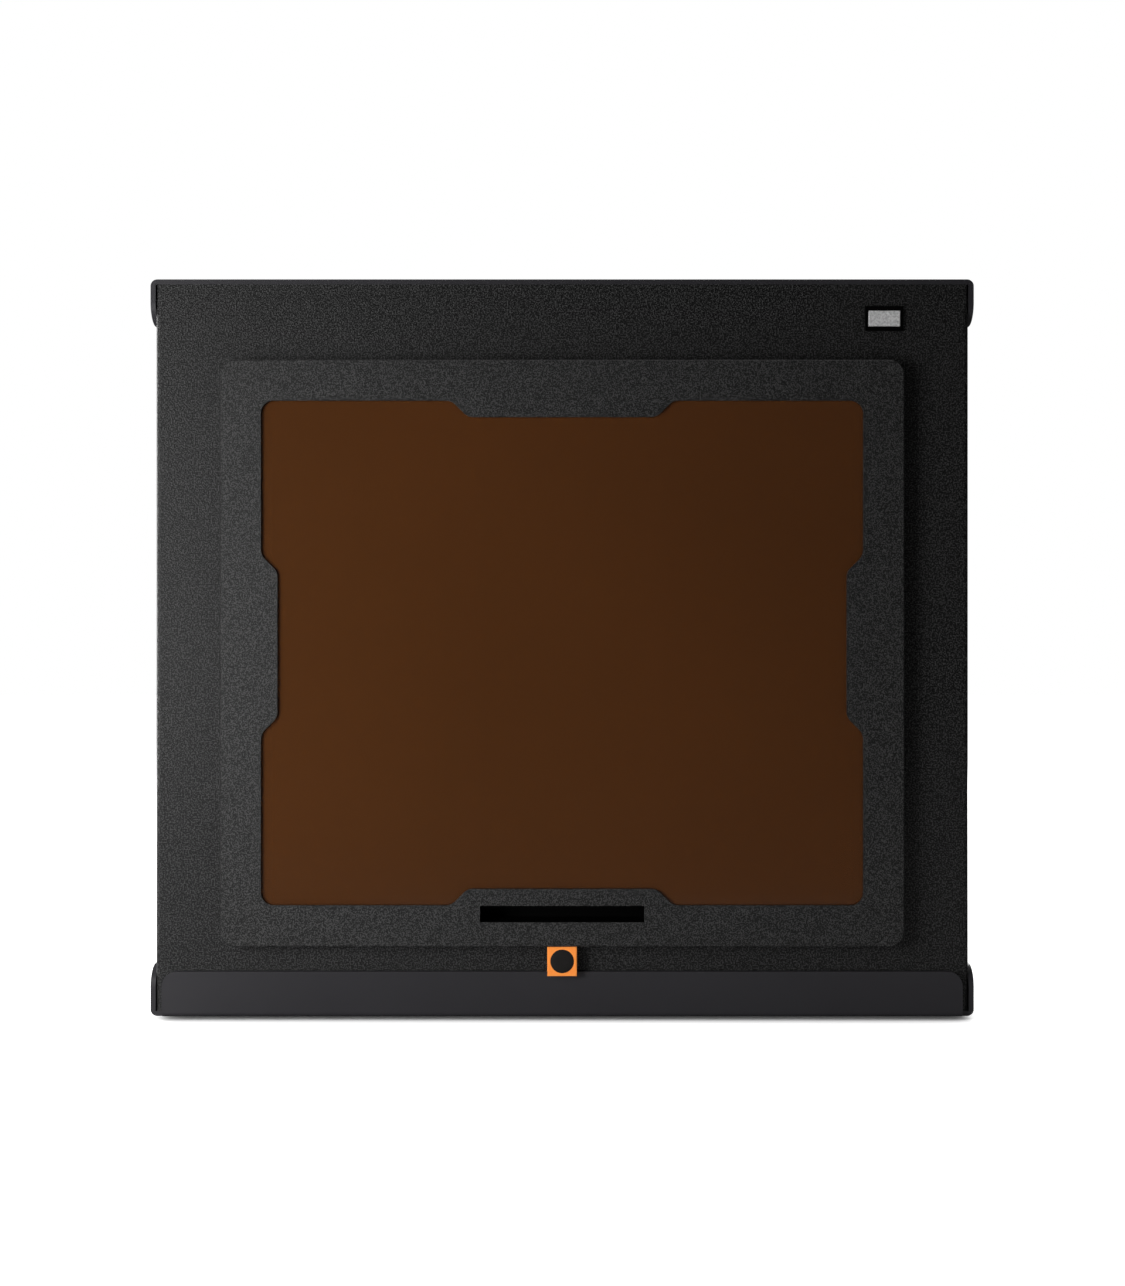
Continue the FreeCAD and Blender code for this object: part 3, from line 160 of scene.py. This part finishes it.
def cast_amber_acrylic():
    """Cast acrylic dyed dark amber: a smooth glossy sheet with a deep brown body that hides the chamber."""
    material, tree = new_material("cast_amber_acrylic")
    places = add_node(tree, "ShaderNodeTexCoord", {})
    dye = add_node(tree, "ShaderNodeTexNoise", {"Scale": per_metre(180), "Detail": 1.0},
                   {"Vector": (places, "Object")})
    colour = add_node(tree, "ShaderNodeMix", {
        "data_type": "RGBA", LOW: linear("#593416"), HIGH: linear("#643a19"),
    }, {"Factor": (dye, "Fac")})
    sheet = add_node(tree, "ShaderNodeBsdfPrincipled", {
        "Roughness": 0.12, "IOR": 1.49, "Transmission Weight": 0.55, "Specular IOR Level": 0.2,
    }, {"Base Color": (colour, BLEND)})
    add_node(tree, "ShaderNodeOutputMaterial", {}, {"Surface": (sheet, "BSDF")})
    return material


def moulded_plastic(name, dark, light, rough_range, grain_mm, relief, shine=0.18):
    """Injection-moulded plastic: a fine eroded grain from the mould that dulls the gloss evenly."""
    material, tree = new_material(name)
    places = add_node(tree, "ShaderNodeTexCoord", {})
    # Real mould grain is near 0.1 mm, drawn coarser so that it shows
    grain = add_node(tree, "ShaderNodeTexNoise", {"Scale": per_metre(grain_mm), "Detail": 2.0},
                     {"Vector": (places, "Object")})
    colour = add_node(tree, "ShaderNodeMix", {"data_type": "RGBA", LOW: linear(dark), HIGH: linear(light)},
                      {"Factor": (grain, "Fac")})
    rough = add_node(tree, "ShaderNodeMapRange", {"To Min": rough_range[0], "To Max": rough_range[1]},
                     {"Value": (grain, "Fac")})
    bumps = add_node(tree, "ShaderNodeBump", {"Strength": relief, "Distance": 0.1 * MM},
                     {"Height": (grain, "Fac")})
    plastic = add_node(tree, "ShaderNodeBsdfPrincipled", {"IOR": 1.53, "Specular IOR Level": shine}, {
        "Base Color": (colour, BLEND), "Roughness": (rough, "Result"), "Normal": (bumps, "Normal"),
    })
    add_node(tree, "ShaderNodeOutputMaterial", {}, {"Surface": (plastic, "BSDF")})
    return material


# A wave texture runs through this many radians in one unit of its scale
WAVE_RADIANS = 20


def woven_polyester():
    """Woven polyester ribbon: tight ribs across the tape with a soft sheen, in bright orange."""
    material, tree = new_material("woven_polyester_orange")
    places = add_node(tree, "ShaderNodeTexCoord", {})
    # Threads lie about 0.25 mm apart, drawn at 0.7 mm so that they show at the render's size
    waves_per_metre = per_metre(0.7) * math.tau / WAVE_RADIANS
    ribs, threads = [
        add_node(tree, "ShaderNodeTexWave", {
            "wave_type": "BANDS", "bands_direction": along, "Scale": waves_per_metre, "Distortion": 0.3,
        }, {"Vector": (places, "Object")})
        for along in ("Z", "X")
    ]
    weave = add_node(tree, "ShaderNodeMath", {"operation": "MULTIPLY"},
                     {0: (ribs, "Fac"), 1: (threads, "Fac")})
    colour = add_node(tree, "ShaderNodeMix", {
        "data_type": "RGBA", LOW: linear("#f58a35"), HIGH: linear("#ffa34d"),
    }, {"Factor": (weave, "Value")})
    bumps = add_node(tree, "ShaderNodeBump", {"Strength": 0.3, "Distance": 0.1 * MM},
                     {"Height": (weave, "Value")})
    cloth = add_node(tree, "ShaderNodeBsdfPrincipled", {
        "Roughness": 0.75, "Sheen Weight": 0.25, "Specular IOR Level": 0.2,
    }, {"Base Color": (colour, BLEND), "Normal": (bumps, "Normal")})
    add_node(tree, "ShaderNodeOutputMaterial", {}, {"Surface": (cloth, "BSDF")})
    return material


def moulded_rubber():
    """Moulded rubber: dull black with a dusty bloom in soft patches."""
    material, tree = new_material("moulded_rubber_black")
    places = add_node(tree, "ShaderNodeTexCoord", {})
    bloom = add_node(tree, "ShaderNodeTexNoise", {"Scale": per_metre(4), "Detail": 4.0},
                     {"Vector": (places, "Object")})
    colour = add_node(tree, "ShaderNodeMix", {
        "data_type": "RGBA", LOW: linear("#161616"), HIGH: linear("#232323"),
    }, {"Factor": (bloom, "Fac")})
    rubber = add_node(tree, "ShaderNodeBsdfPrincipled", {
        "Roughness": 0.85, "IOR": 1.52, "Specular IOR Level": 0.25,
    }, {"Base Color": (colour, BLEND)})
    add_node(tree, "ShaderNodeOutputMaterial", {}, {"Surface": (rubber, "BSDF")})
    return material


# Painted shade: the case's copy of the coat is made darker than the door's, standing in for the shade that
# falls on the panel around the door
case_coat_darkened_for_shade = sanded_powder_coat("sanded_powder_coat_case_painted_shade", "#010101", "#343434", grit_mm=0.85, relief_mm=0.3)
door_coat = sanded_powder_coat("sanded_powder_coat_door", "#0e0e0e", "#3c3c3c", grit_mm=0.66, relief_mm=0.2)
satin_coat = satin_powder_coat()
# How the streaks of a metal are stretched: not at all, from front to back, or upright
EVEN = (1, 1, 1)
ENDWAYS = (1, 0.04, 1)
UPRIGHT = (1, 1, 0.03)
# Black oxide leaves screw steel a dull dark grey, and zinc leaves it pale and faintly mottled
black_oxide = worked_metal("black_oxide_steel", "#1b1b1c", "#2a2a2b", (0.35, 0.5), 0.6, EVEN)
zinc_plate = worked_metal("zinc_plated_steel", "#a9abad", "#c4c6c8", (0.28, 0.42), 1.5, EVEN)
# Rolling leaves the reflector sheets near mirrors, and the extruded channels dull with upright die lines
mirror_sheet = worked_metal("rolled_mirror_aluminium", "#c9cbcd", "#d9dbdc", (0.12, 0.2), 2.0, UPRIGHT)
lamp_channel = worked_metal("anodised_extruded_aluminium", "#b4b6b8", "#c6c8ca", (0.32, 0.42), 1.0, UPRIGHT)
# A drawn can shows faint die marks, and nickel a warm close gloss
drawn_can = worked_metal("drawn_steel_can", "#8b8d8f", "#a3a5a7", (0.3, 0.45), 1.2, ENDWAYS)
nickel_plate = worked_metal("nickel_plated_magnet", "#b9b7b2", "#cccac5", (0.15, 0.25), 2.0, EVEN)
# Black ABS is painted near-zero black, darker than the plastic itself, as painted shade for the finger slot
# and switch bezel recesses; the grey cap has a spark-eroded grain that glitters a little
black_abs_and_painted_shade = moulded_plastic("moulded_abs_black_and_painted_shade", "#020202", "#040404", (0.5, 0.62),
                            grain_mm=0.8, relief=0.15, shine=0.04)
grey_abs = moulded_plastic("grained_abs_grey", "#505050", "#e6e6e6", (0.45, 0.6), grain_mm=1.2, relief=0.6)
# The turntable's polycarbonate is black and nearly as glossy as its mould
turntable_plastic = moulded_plastic("moulded_polycarbonate_black", "#121213", "#19191a", (0.22, 0.32),
                                    grain_mm=1.5, relief=0.03)
# Turned nylon is waxy white, and the diodes' resin is yellow from its phosphor and nearly clear on top
washer_nylon = moulded_plastic("turned_nylon_white", "#d9d7cf", "#e6e4dc", (0.45, 0.55),
                               grain_mm=0.6, relief=0.1)
diode_resin = moulded_plastic("encapsulated_diode_yellow", "#d8c46a", "#e9dd9a", (0.12, 0.2),
                              grain_mm=0.8, relief=0.05)
# Solder mask is a thin green gloss over copper, and the printed disc a dry charcoal ink
board_mask = moulded_plastic("solder_mask_green", "#0f3a20", "#17512c", (0.3, 0.45), grain_mm=2.0, relief=0.1)
disc_print = moulded_plastic("printed_ink_charcoal", "#151413", "#1f1d1c", (0.6, 0.75),
                             grain_mm=0.7, relief=0.2, shine=0.1)
amber = cast_amber_acrylic()
ribbon = woven_polyester()
black_rubber = moulded_rubber()

FINISHES = {
    "textured_powder_coat": case_coat_darkened_for_shade,
    "satin_black_coat": satin_coat,
    "black_screw_steel": black_oxide,
    "zinc_steel": zinc_plate,
    "amber_acrylic": amber,
    "black_plastic": black_abs_and_painted_shade,
    "grey_plastic": grey_abs,
    "orange_ribbon": ribbon,
    "black_rubber": black_rubber,
    "mirror_aluminium": mirror_sheet,
    "extruded_aluminium": lamp_channel,
    "led_chip": diode_resin,
    "turntable_black": turntable_plastic,
    "nylon": washer_nylon,
    "motor_steel": drawn_can,
    "magnet_nickel": nickel_plate,
    "circuit_board": board_mask,
}


def paint(thing, material):
    """Give an object one finish all over."""
    thing.data.materials.clear()
    thing.data.materials.append(material)


def paint_nodes():
    """Give every CAD node the finish of its slot, and the door a lighter copy of the coat than the case's,
    whose darker tone is painted shade.
    """
    for subpart in frame["record"]["subparts"]:
        paint(nodes[subpart["node"]], FINISHES[subpart["material_slot"]])
    paint(nodes["door_frame"], door_coat)


CREASE = math.radians(32)


def new_piece(name, mesh, body, material):
    """Turn a finished bmesh into a smooth piece with crisp edges that rides on a body."""
    bmesh.ops.recalc_face_normals(mesh, faces=mesh.faces)
    for face in mesh.faces:
        face.smooth = True
    data = bpy.data.meshes.new(name)
    mesh.to_mesh(data)
    mesh.free()
    data.set_sharp_from_angle(angle=CREASE)
    piece = bpy.data.objects.new(name, data)
    scene.collection.objects.link(piece)
    paint(piece, material)
    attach(piece, body)
    return piece


def even(angle):
    """Outline of a round ring."""
    return 1


def hexagon(angle):
    """Outline of a hexagon over its corner circle."""
    away = (angle + math.pi / 6) % (math.pi / 3) - math.pi / 6
    return math.cos(math.pi / 6) / math.cos(away)


SQUARE_POWER = 14


def soft_square(angle):
    """Outline of a square with rounded corners over half its side."""
    spread = abs(math.cos(angle)) ** SQUARE_POWER + abs(math.sin(angle)) ** SQUARE_POWER
    return spread ** (-1 / SQUARE_POWER)


def add_turned(mesh, seat, outward, profile, sides, hollow=False):
    """Sweep rings of radius, height and outline round an axis, capped at both ends or closed into a hoop."""
    turn = outward.to_track_quat("Z", "Y")
    rings = []
    for reach, height, outline in profile:
        ring = []
        for side in range(sides):
            angle = 2 * math.pi * side / sides
            span = reach * outline(angle)
            spot = Vector((span * math.cos(angle), span * math.sin(angle), height))
            ring.append(mesh.verts.new(seat + turn @ spot))
        rings.append(ring)
    following = rings[1:] + rings[:1] if hollow else rings[1:]
    for lower, upper in zip(rings, following):
        for side in range(sides):
            after = (side + 1) % sides
            mesh.faces.new((lower[side], lower[after], upper[after], upper[side]))
    if not hollow:
        mesh.faces.new(rings[-1])
        mesh.faces.new(list(reversed(rings[0])))


def rounded(pairs):
    """A round profile from plain pairs of radius and height in millimetres."""
    return [(reach * MM, height * MM, even) for reach, height in pairs]


FRONT = Vector((0, -1, 0))
BACK = Vector((0, 1, 0))
UP = Vector((0, 0, 1))
RIGHT = Vector((1, 0, 0))


def corners(node):
    """Lowest and highest corner of a CAD node."""
    return [Vector(corner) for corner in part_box(node)]


TAPE = 0.36 * MM
FOLD_STEPS = 8
# Shares of the ribbon's half width, closer together at its woven edges
RIBBON_CUTS = (-1, -0.93, -0.86, -0.4, 0, 0.4, 0.86, 0.93, 1)
PRINT_PROFILE = rounded([(7.05, 0), (6.95, 0.05), (3.5, 0.05)])


def make_pull_tag():
    """Ribbon folded into a flat loop, with a plain printed disc on its front."""
    low, high = corners("pull_tag")
    bend = (high.y - low.y - TAPE) / 2
    middle = (low + high) / 2
    half = (high.x - low.x) / 2
    rows = [(middle.y - bend, high.z), (middle.y - bend, middle.z)]
    for step in range(FOLD_STEPS + 1):
        turn = math.pi * step / FOLD_STEPS
        rows.append((middle.y - bend * math.cos(turn), low.z + bend + TAPE / 2 - bend * math.sin(turn)))
    rows += [(middle.y + bend, middle.z), (middle.y + bend, high.z)]
    mesh = bmesh.new()
    grid = [[mesh.verts.new((half * cut, y, z)) for cut in RIBBON_CUTS] for y, z in rows]
    for row, following in zip(grid, grid[1:]):
        for index in range(len(RIBBON_CUTS) - 1):
            mesh.faces.new((row[index], row[index + 1], following[index + 1], following[index]))
    tag = new_piece("pull_tag_ribbon", mesh, "door", ribbon)
    skin = tag.modifiers.new("tape", "SOLIDIFY")
    skin.thickness = TAPE
    skin.offset = 0
    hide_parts("pull_tag")
    door_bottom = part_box("door_frame")[0][2]
    print_seat = Vector((0, middle.y - bend - TAPE / 2, (low.z + door_bottom) / 2))
    mesh = bmesh.new()
    add_turned(mesh, print_seat, FRONT, PRINT_PROFILE, sides=64)
    disc = new_piece("pull_tag_disc", mesh, "door", disc_print)


WELD = 0.001 * MM


def solids_of(node):
    """Lowest and highest corner of each separate solid in a CAD node."""
    mesh = bmesh.new()
    mesh.from_mesh(nodes[node].data)
    bmesh.ops.remove_doubles(mesh, verts=mesh.verts, dist=WELD)
    left = set(mesh.verts)
    boxes = []
    while left:
        reached = [left.pop()]
        for vertex in reached:
            for edge in vertex.link_edges:
                neighbour = edge.other_vert(vertex)
                if neighbour in left:
                    left.remove(neighbour)
                    reached.append(neighbour)
        places = [vertex.co for vertex in reached]
        boxes.append((
            Vector([min(place[axis] for place in places) for axis in range(3)]),
            Vector([max(place[axis] for place in places) for axis in range(3)]),
        ))
    mesh.free()
    return sorted(boxes, key=lambda box: tuple(box[0]))


# How far a screw's shank reaches in under its head, and the radius over the height of a pan head's solid
SHANK = 2.5 * MM
PAN_HEAD_RATIO = 1.9


def flush_head(radius):
    """A countersunk head whose thin rim lies on its sheet, with a hexagon socket."""
    rim = radius + 0.28 * MM
    return [
        (radius * 0.5, -SHANK, even), (radius * 0.5, -1.2 * MM, even), (rim, -0.1 * MM, even),
        (rim, 0.04 * MM, even), (rim * 0.95, 0.1 * MM, even),
        (radius * 0.5, 0.1 * MM, hexagon), (radius * 0.48, -0.8 * MM, hexagon),
    ]


def pan_head(radius):
    """A low domed head that stands on its sheet by its CAD height, with a hexagon socket."""
    height = radius / PAN_HEAD_RATIO
    return [
        (radius * 0.5, -SHANK - height, even), (radius * 0.5, -height, even), (radius, -height, even),
        (radius, -height * 0.65, even), (radius * 0.93, -height * 0.32, even),
        (radius * 0.78, -height * 0.1, even), (radius * 0.6, 0, even),
        (radius * 0.5, 0, hexagon), (radius * 0.48, -height * 0.85, hexagon),
    ]


ALONG_X, ALONG_Y = 0, 1


def make_screws(node, axis, head_for):
    """Round screw heads in place of a CAD node's plain ones, facing away from the object's middle."""
    mesh = bmesh.new()
    for low, high in solids_of(node):
        seat = (low + high) / 2
        outward = Vector((0, 0, 0))
        outward[axis] = math.copysign(1, seat[axis])
        seat[axis] = high[axis] if outward[axis] > 0 else low[axis]
        extents = high - low
        radius = max(extents[(axis + 1) % 3], extents[(axis + 2) % 3]) / 2
        add_turned(mesh, seat, outward, head_for(radius), sides=24)
    piece = new_piece(f"{node}_heads", mesh, "case", black_oxide)
    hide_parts(node)


def make_screw_heads():
    """Every screw that shows on the outside."""
    for node in ("cover_screws", "tray_screws"):
        make_screws(node, ALONG_X, flush_head)
    make_screws("back_panel_screws", ALONG_X, pan_head)
    for node in ("fan_screws", "inlet_screws"):
        make_screws(node, ALONG_Y, pan_head)


KNOB_PROFILE = rounded([
    (7.5, 0), (7.9, 0.3), (7.9, 8.4), (7.6, 9.5), (6.8, 10.5), (5.5, 11.2), (3.6, 11.6), (1.2, 11.7),
])


def make_knob():
    """Domed grip in the middle of the turntable."""
    low, high = corners("centre_knob")
    seat = Vector(((low.x + high.x) / 2, (low.y + high.y) / 2, low.z))
    mesh = bmesh.new()
    add_turned(mesh, seat, UP, KNOB_PROFILE, sides=48)
    knob = new_piece("centre_knob_turned", mesh, "turntable", turntable_plastic)
    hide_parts("centre_knob")


FOOT_PROFILE = rounded([(10.2, 0), (10.7, 0.15), (11, 0.5), (11, 2.5)])
BUMPER_PROFILE = rounded([(3.5, 0), (3.5, 0.4), (3.2, 0.8), (2.5, 1.08), (1.2, 1.2)])


def make_pads():
    """Rubber feet under the tray and bumpers behind the door, with moulded round edges."""
    mesh = bmesh.new()
    for low, high in solids_of("rubber_feet"):
        seat = Vector(((low.x + high.x) / 2, (low.y + high.y) / 2, low.z))
        add_turned(mesh, seat, UP, FOOT_PROFILE, sides=40)
    feet = new_piece("rubber_feet_round", mesh, "case", black_rubber)
    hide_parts("rubber_feet")
    mesh = bmesh.new()
    for low, high in solids_of("door_bumpers"):
        seat = Vector(((low.x + high.x) / 2, high.y, (low.z + high.z) / 2))
        add_turned(mesh, seat, FRONT, BUMPER_PROFILE, sides=24)
    bumpers = new_piece("door_bumpers_round", mesh, "case", black_rubber)
    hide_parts("door_bumpers")


HOOP_SHARES = (0.3, 0.6)
HOOP_STEPS = 8


def make_fan_guard():
    """Moulded guard over the fan: a soft-cornered flange, a round collar, two hoops and a cross."""
    low, high = corners("fan_guard")
    seat = Vector(((low.x + high.x) / 2, low.y, (low.z + high.z) / 2))
    half = (high.x - low.x) / 2
    deep = high.y - low.y
    bore = half - 2 * MM
    wall = 1.2 * MM
    soft = 0.4 * MM
    hoop = 0.9 * MM
    mesh = bmesh.new()
    add_turned(mesh, seat, BACK, [
        (half, 0, soft_square), (half, wall * 0.7, soft_square), (half - soft, wall, soft_square),
        (bore + wall, wall, even), (bore + wall, deep - soft, even), (bore + wall * 0.7, deep, even),
        (bore + wall * 0.2, deep, even), (bore, deep - soft * 0.75, even), (bore, 0, even),
    ], sides=96, hollow=True)
    for share in HOOP_SHARES:
        section = [2 * math.pi * step / HOOP_STEPS for step in range(HOOP_STEPS)]
        add_turned(mesh, seat, BACK, [
            (bore * share + hoop * math.cos(turn), deep - wall / 2 + wall / 2 * math.sin(turn), even)
            for turn in section
        ], sides=64, hollow=True)
    for along in (RIGHT, UP):
        start = seat + BACK * (deep - wall / 2) - along * (bore + wall / 2)
        add_turned(mesh, start, along, [(wall / 2, 0, even), (wall / 2, bore * 2 + wall, even)], sides=12)
    guard = new_piece("fan_guard_moulded", mesh, "case", black_abs_and_painted_shade)
    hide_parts("fan_guard")


LENS_PROFILE = rounded([(1.5, 0), (1.45, 0.4), (1.2, 0.8), (0.75, 1.1), (0.3, 1.2)])


def make_diode_lenses():
    """A small resin dome on every light chip, facing into the chamber."""
    disc_low, disc_high = corners("turntable_disc")
    middle = (disc_low + disc_high) / 2
    mesh = bmesh.new()
    for low, high in solids_of("led_emitters"):
        extents = list(high - low)
        axis = extents.index(min(extents))
        seat = (low + high) / 2
        outward = Vector((0, 0, 0))
        outward[axis] = math.copysign(1, middle[axis] - seat[axis])
        seat[axis] = high[axis] if outward[axis] > 0 else low[axis]
        add_turned(mesh, seat, outward, LENS_PROFILE, sides=16)
    new_piece("led_lenses", mesh, "case", diode_resin)


# How bright the white stage shows in reflections, and how strongly it lights the object
MIRRORED_STAGE = 0.08
WORLD_FILL = 0.03
# How far under the object the floor darkens, and half the floor's side in metres
CONTACT_SHADOW = 14 * MM
FLOOR_HALF = 6


def stage_glow(tree):
    """How bright the stage shows: white to the camera and through glass, dimmer in reflections."""
    path = add_node(tree, "ShaderNodeLightPath", {})
    seen = add_node(tree, "ShaderNodeMath", {"operation": "MAXIMUM"},
                    {0: (path, "Is Camera Ray"), 1: (path, "Is Transmission Ray")})
    mirrored = add_node(tree, "ShaderNodeMath", {"operation": "MULTIPLY", 1: MIRRORED_STAGE},
                        {0: (path, "Is Glossy Ray")})
    return add_node(tree, "ShaderNodeMath", {"operation": "MAXIMUM"},
                    {0: (seen, "Value"), 1: (mirrored, "Value")})


def make_floor():
    """White floor that keeps the shadow and shows dark in the pane and in other gloss."""
    mesh = bmesh.new()
    bmesh.ops.create_grid(mesh, x_segments=1, y_segments=1, size=FLOOR_HALF)
    data = bpy.data.meshes.new("floor")
    mesh.to_mesh(data)
    mesh.free()
    floor = bpy.data.objects.new("floor", data)
    scene.collection.objects.link(floor)
    material, tree = new_material("white_studio_floor")
    open_sky = add_node(tree, "ShaderNodeAmbientOcclusion", {"Distance": CONTACT_SHADOW})
    strength = add_node(tree, "ShaderNodeMath", {"operation": "MULTIPLY"},
                        {0: (stage_glow(tree), "Value"), 1: (open_sky, "AO")})
    glow = add_node(tree, "ShaderNodeEmission", {}, {"Strength": (strength, "Value")})
    path = add_node(tree, "ShaderNodeLightPath", {})
    card = add_node(tree, "ShaderNodeMix", {
        "data_type": "RGBA", LOW: linear("#e8e8e8"), HIGH: linear("#383838"),
    }, {"Factor": (path, "Is Glossy Ray")})
    matt = add_node(tree, "ShaderNodeBsdfDiffuse", {}, {"Color": (card, BLEND)})
    both = add_node(tree, "ShaderNodeAddShader", {}, {0: (glow, "Emission"), 1: (matt, "BSDF")})
    add_node(tree, "ShaderNodeOutputMaterial", {}, {"Surface": (both, "Shader")})
    paint(floor, material)


def make_world():
    """White surroundings that light the object softly."""
    world = bpy.data.worlds.new("studio")
    world.use_nodes = True
    tree = world.node_tree
    tree.nodes.clear()
    strength = add_node(tree, "ShaderNodeMath", {"operation": "MAXIMUM", 1: WORLD_FILL},
                        {0: (stage_glow(tree), "Value")})
    sky = add_node(tree, "ShaderNodeBackground", {"Color": linear("#ffffff")},
                   {"Strength": (strength, "Value")})
    add_node(tree, "ShaderNodeOutputWorld", {}, {"Surface": (sky, "Background")})
    scene.world = world


def add_softbox(name, place, target, width, height, watts):
    """A rectangular area lamp aimed at a point."""
    lamp = bpy.data.lights.new(name, "AREA")
    lamp.shape = "RECTANGLE"
    lamp.size = width
    lamp.size_y = height
    lamp.energy = watts
    holder = bpy.data.objects.new(name, lamp)
    holder.location = place
    holder.rotation_euler = (Vector(target) - Vector(place)).to_track_quat("-Z", "Y").to_euler()
    holder.visible_camera = False
    scene.collection.objects.link(holder)


def make_lights():
    """A softbox at the front's left, a strip for the left fold, a card for the lip, and two lamps beyond."""
    add_softbox("key", (-0.62, -0.8, 0.22), (0, -0.2, 0.18), width=0.4, height=0.6, watts=9.1)
    add_softbox("left_edge", (-1.08, 0.12, 0.25), (-0.244, -0.216, 0.22), width=0.16, height=0.8, watts=16)
    add_softbox("floor_card", (0.16, -0.4, 0.012), (0.16, -0.22, 0.05), width=0.6, height=0.05, watts=0.1)
    add_softbox("overhead", (0, 0.2, 1.6), (0, 0, 0.2), width=1.2, height=1.2, watts=14)
    add_softbox("rear", (0.6, 1.5, 0.9), (0, 0.2, 0.2), width=0.8, height=0.8, watts=22)


# The camera stands level, straight in front, at the photograph's distance
CAMERA_PLACE = (0.0002, -1.2175, 0.2263)
SENSOR_WIDTH_MM = 36
FOCAL_LENGTH_MM = 53.33


def make_camera():
    """Level camera with the photograph's framing."""
    lens = bpy.data.cameras.new("camera")
    lens.sensor_fit = "HORIZONTAL"
    lens.sensor_width = SENSOR_WIDTH_MM
    lens.lens = FOCAL_LENGTH_MM
    holder = bpy.data.objects.new("camera", lens)
    holder.location = CAMERA_PLACE
    holder.rotation_euler = (math.radians(90), 0, 0)
    scene.collection.objects.link(holder)
    scene.camera = holder


paint_nodes()
make_pull_tag()
make_screw_heads()
make_knob()
make_pads()
make_fan_guard()
make_diode_lenses()
make_floor()
make_world()
make_lights()
make_camera()
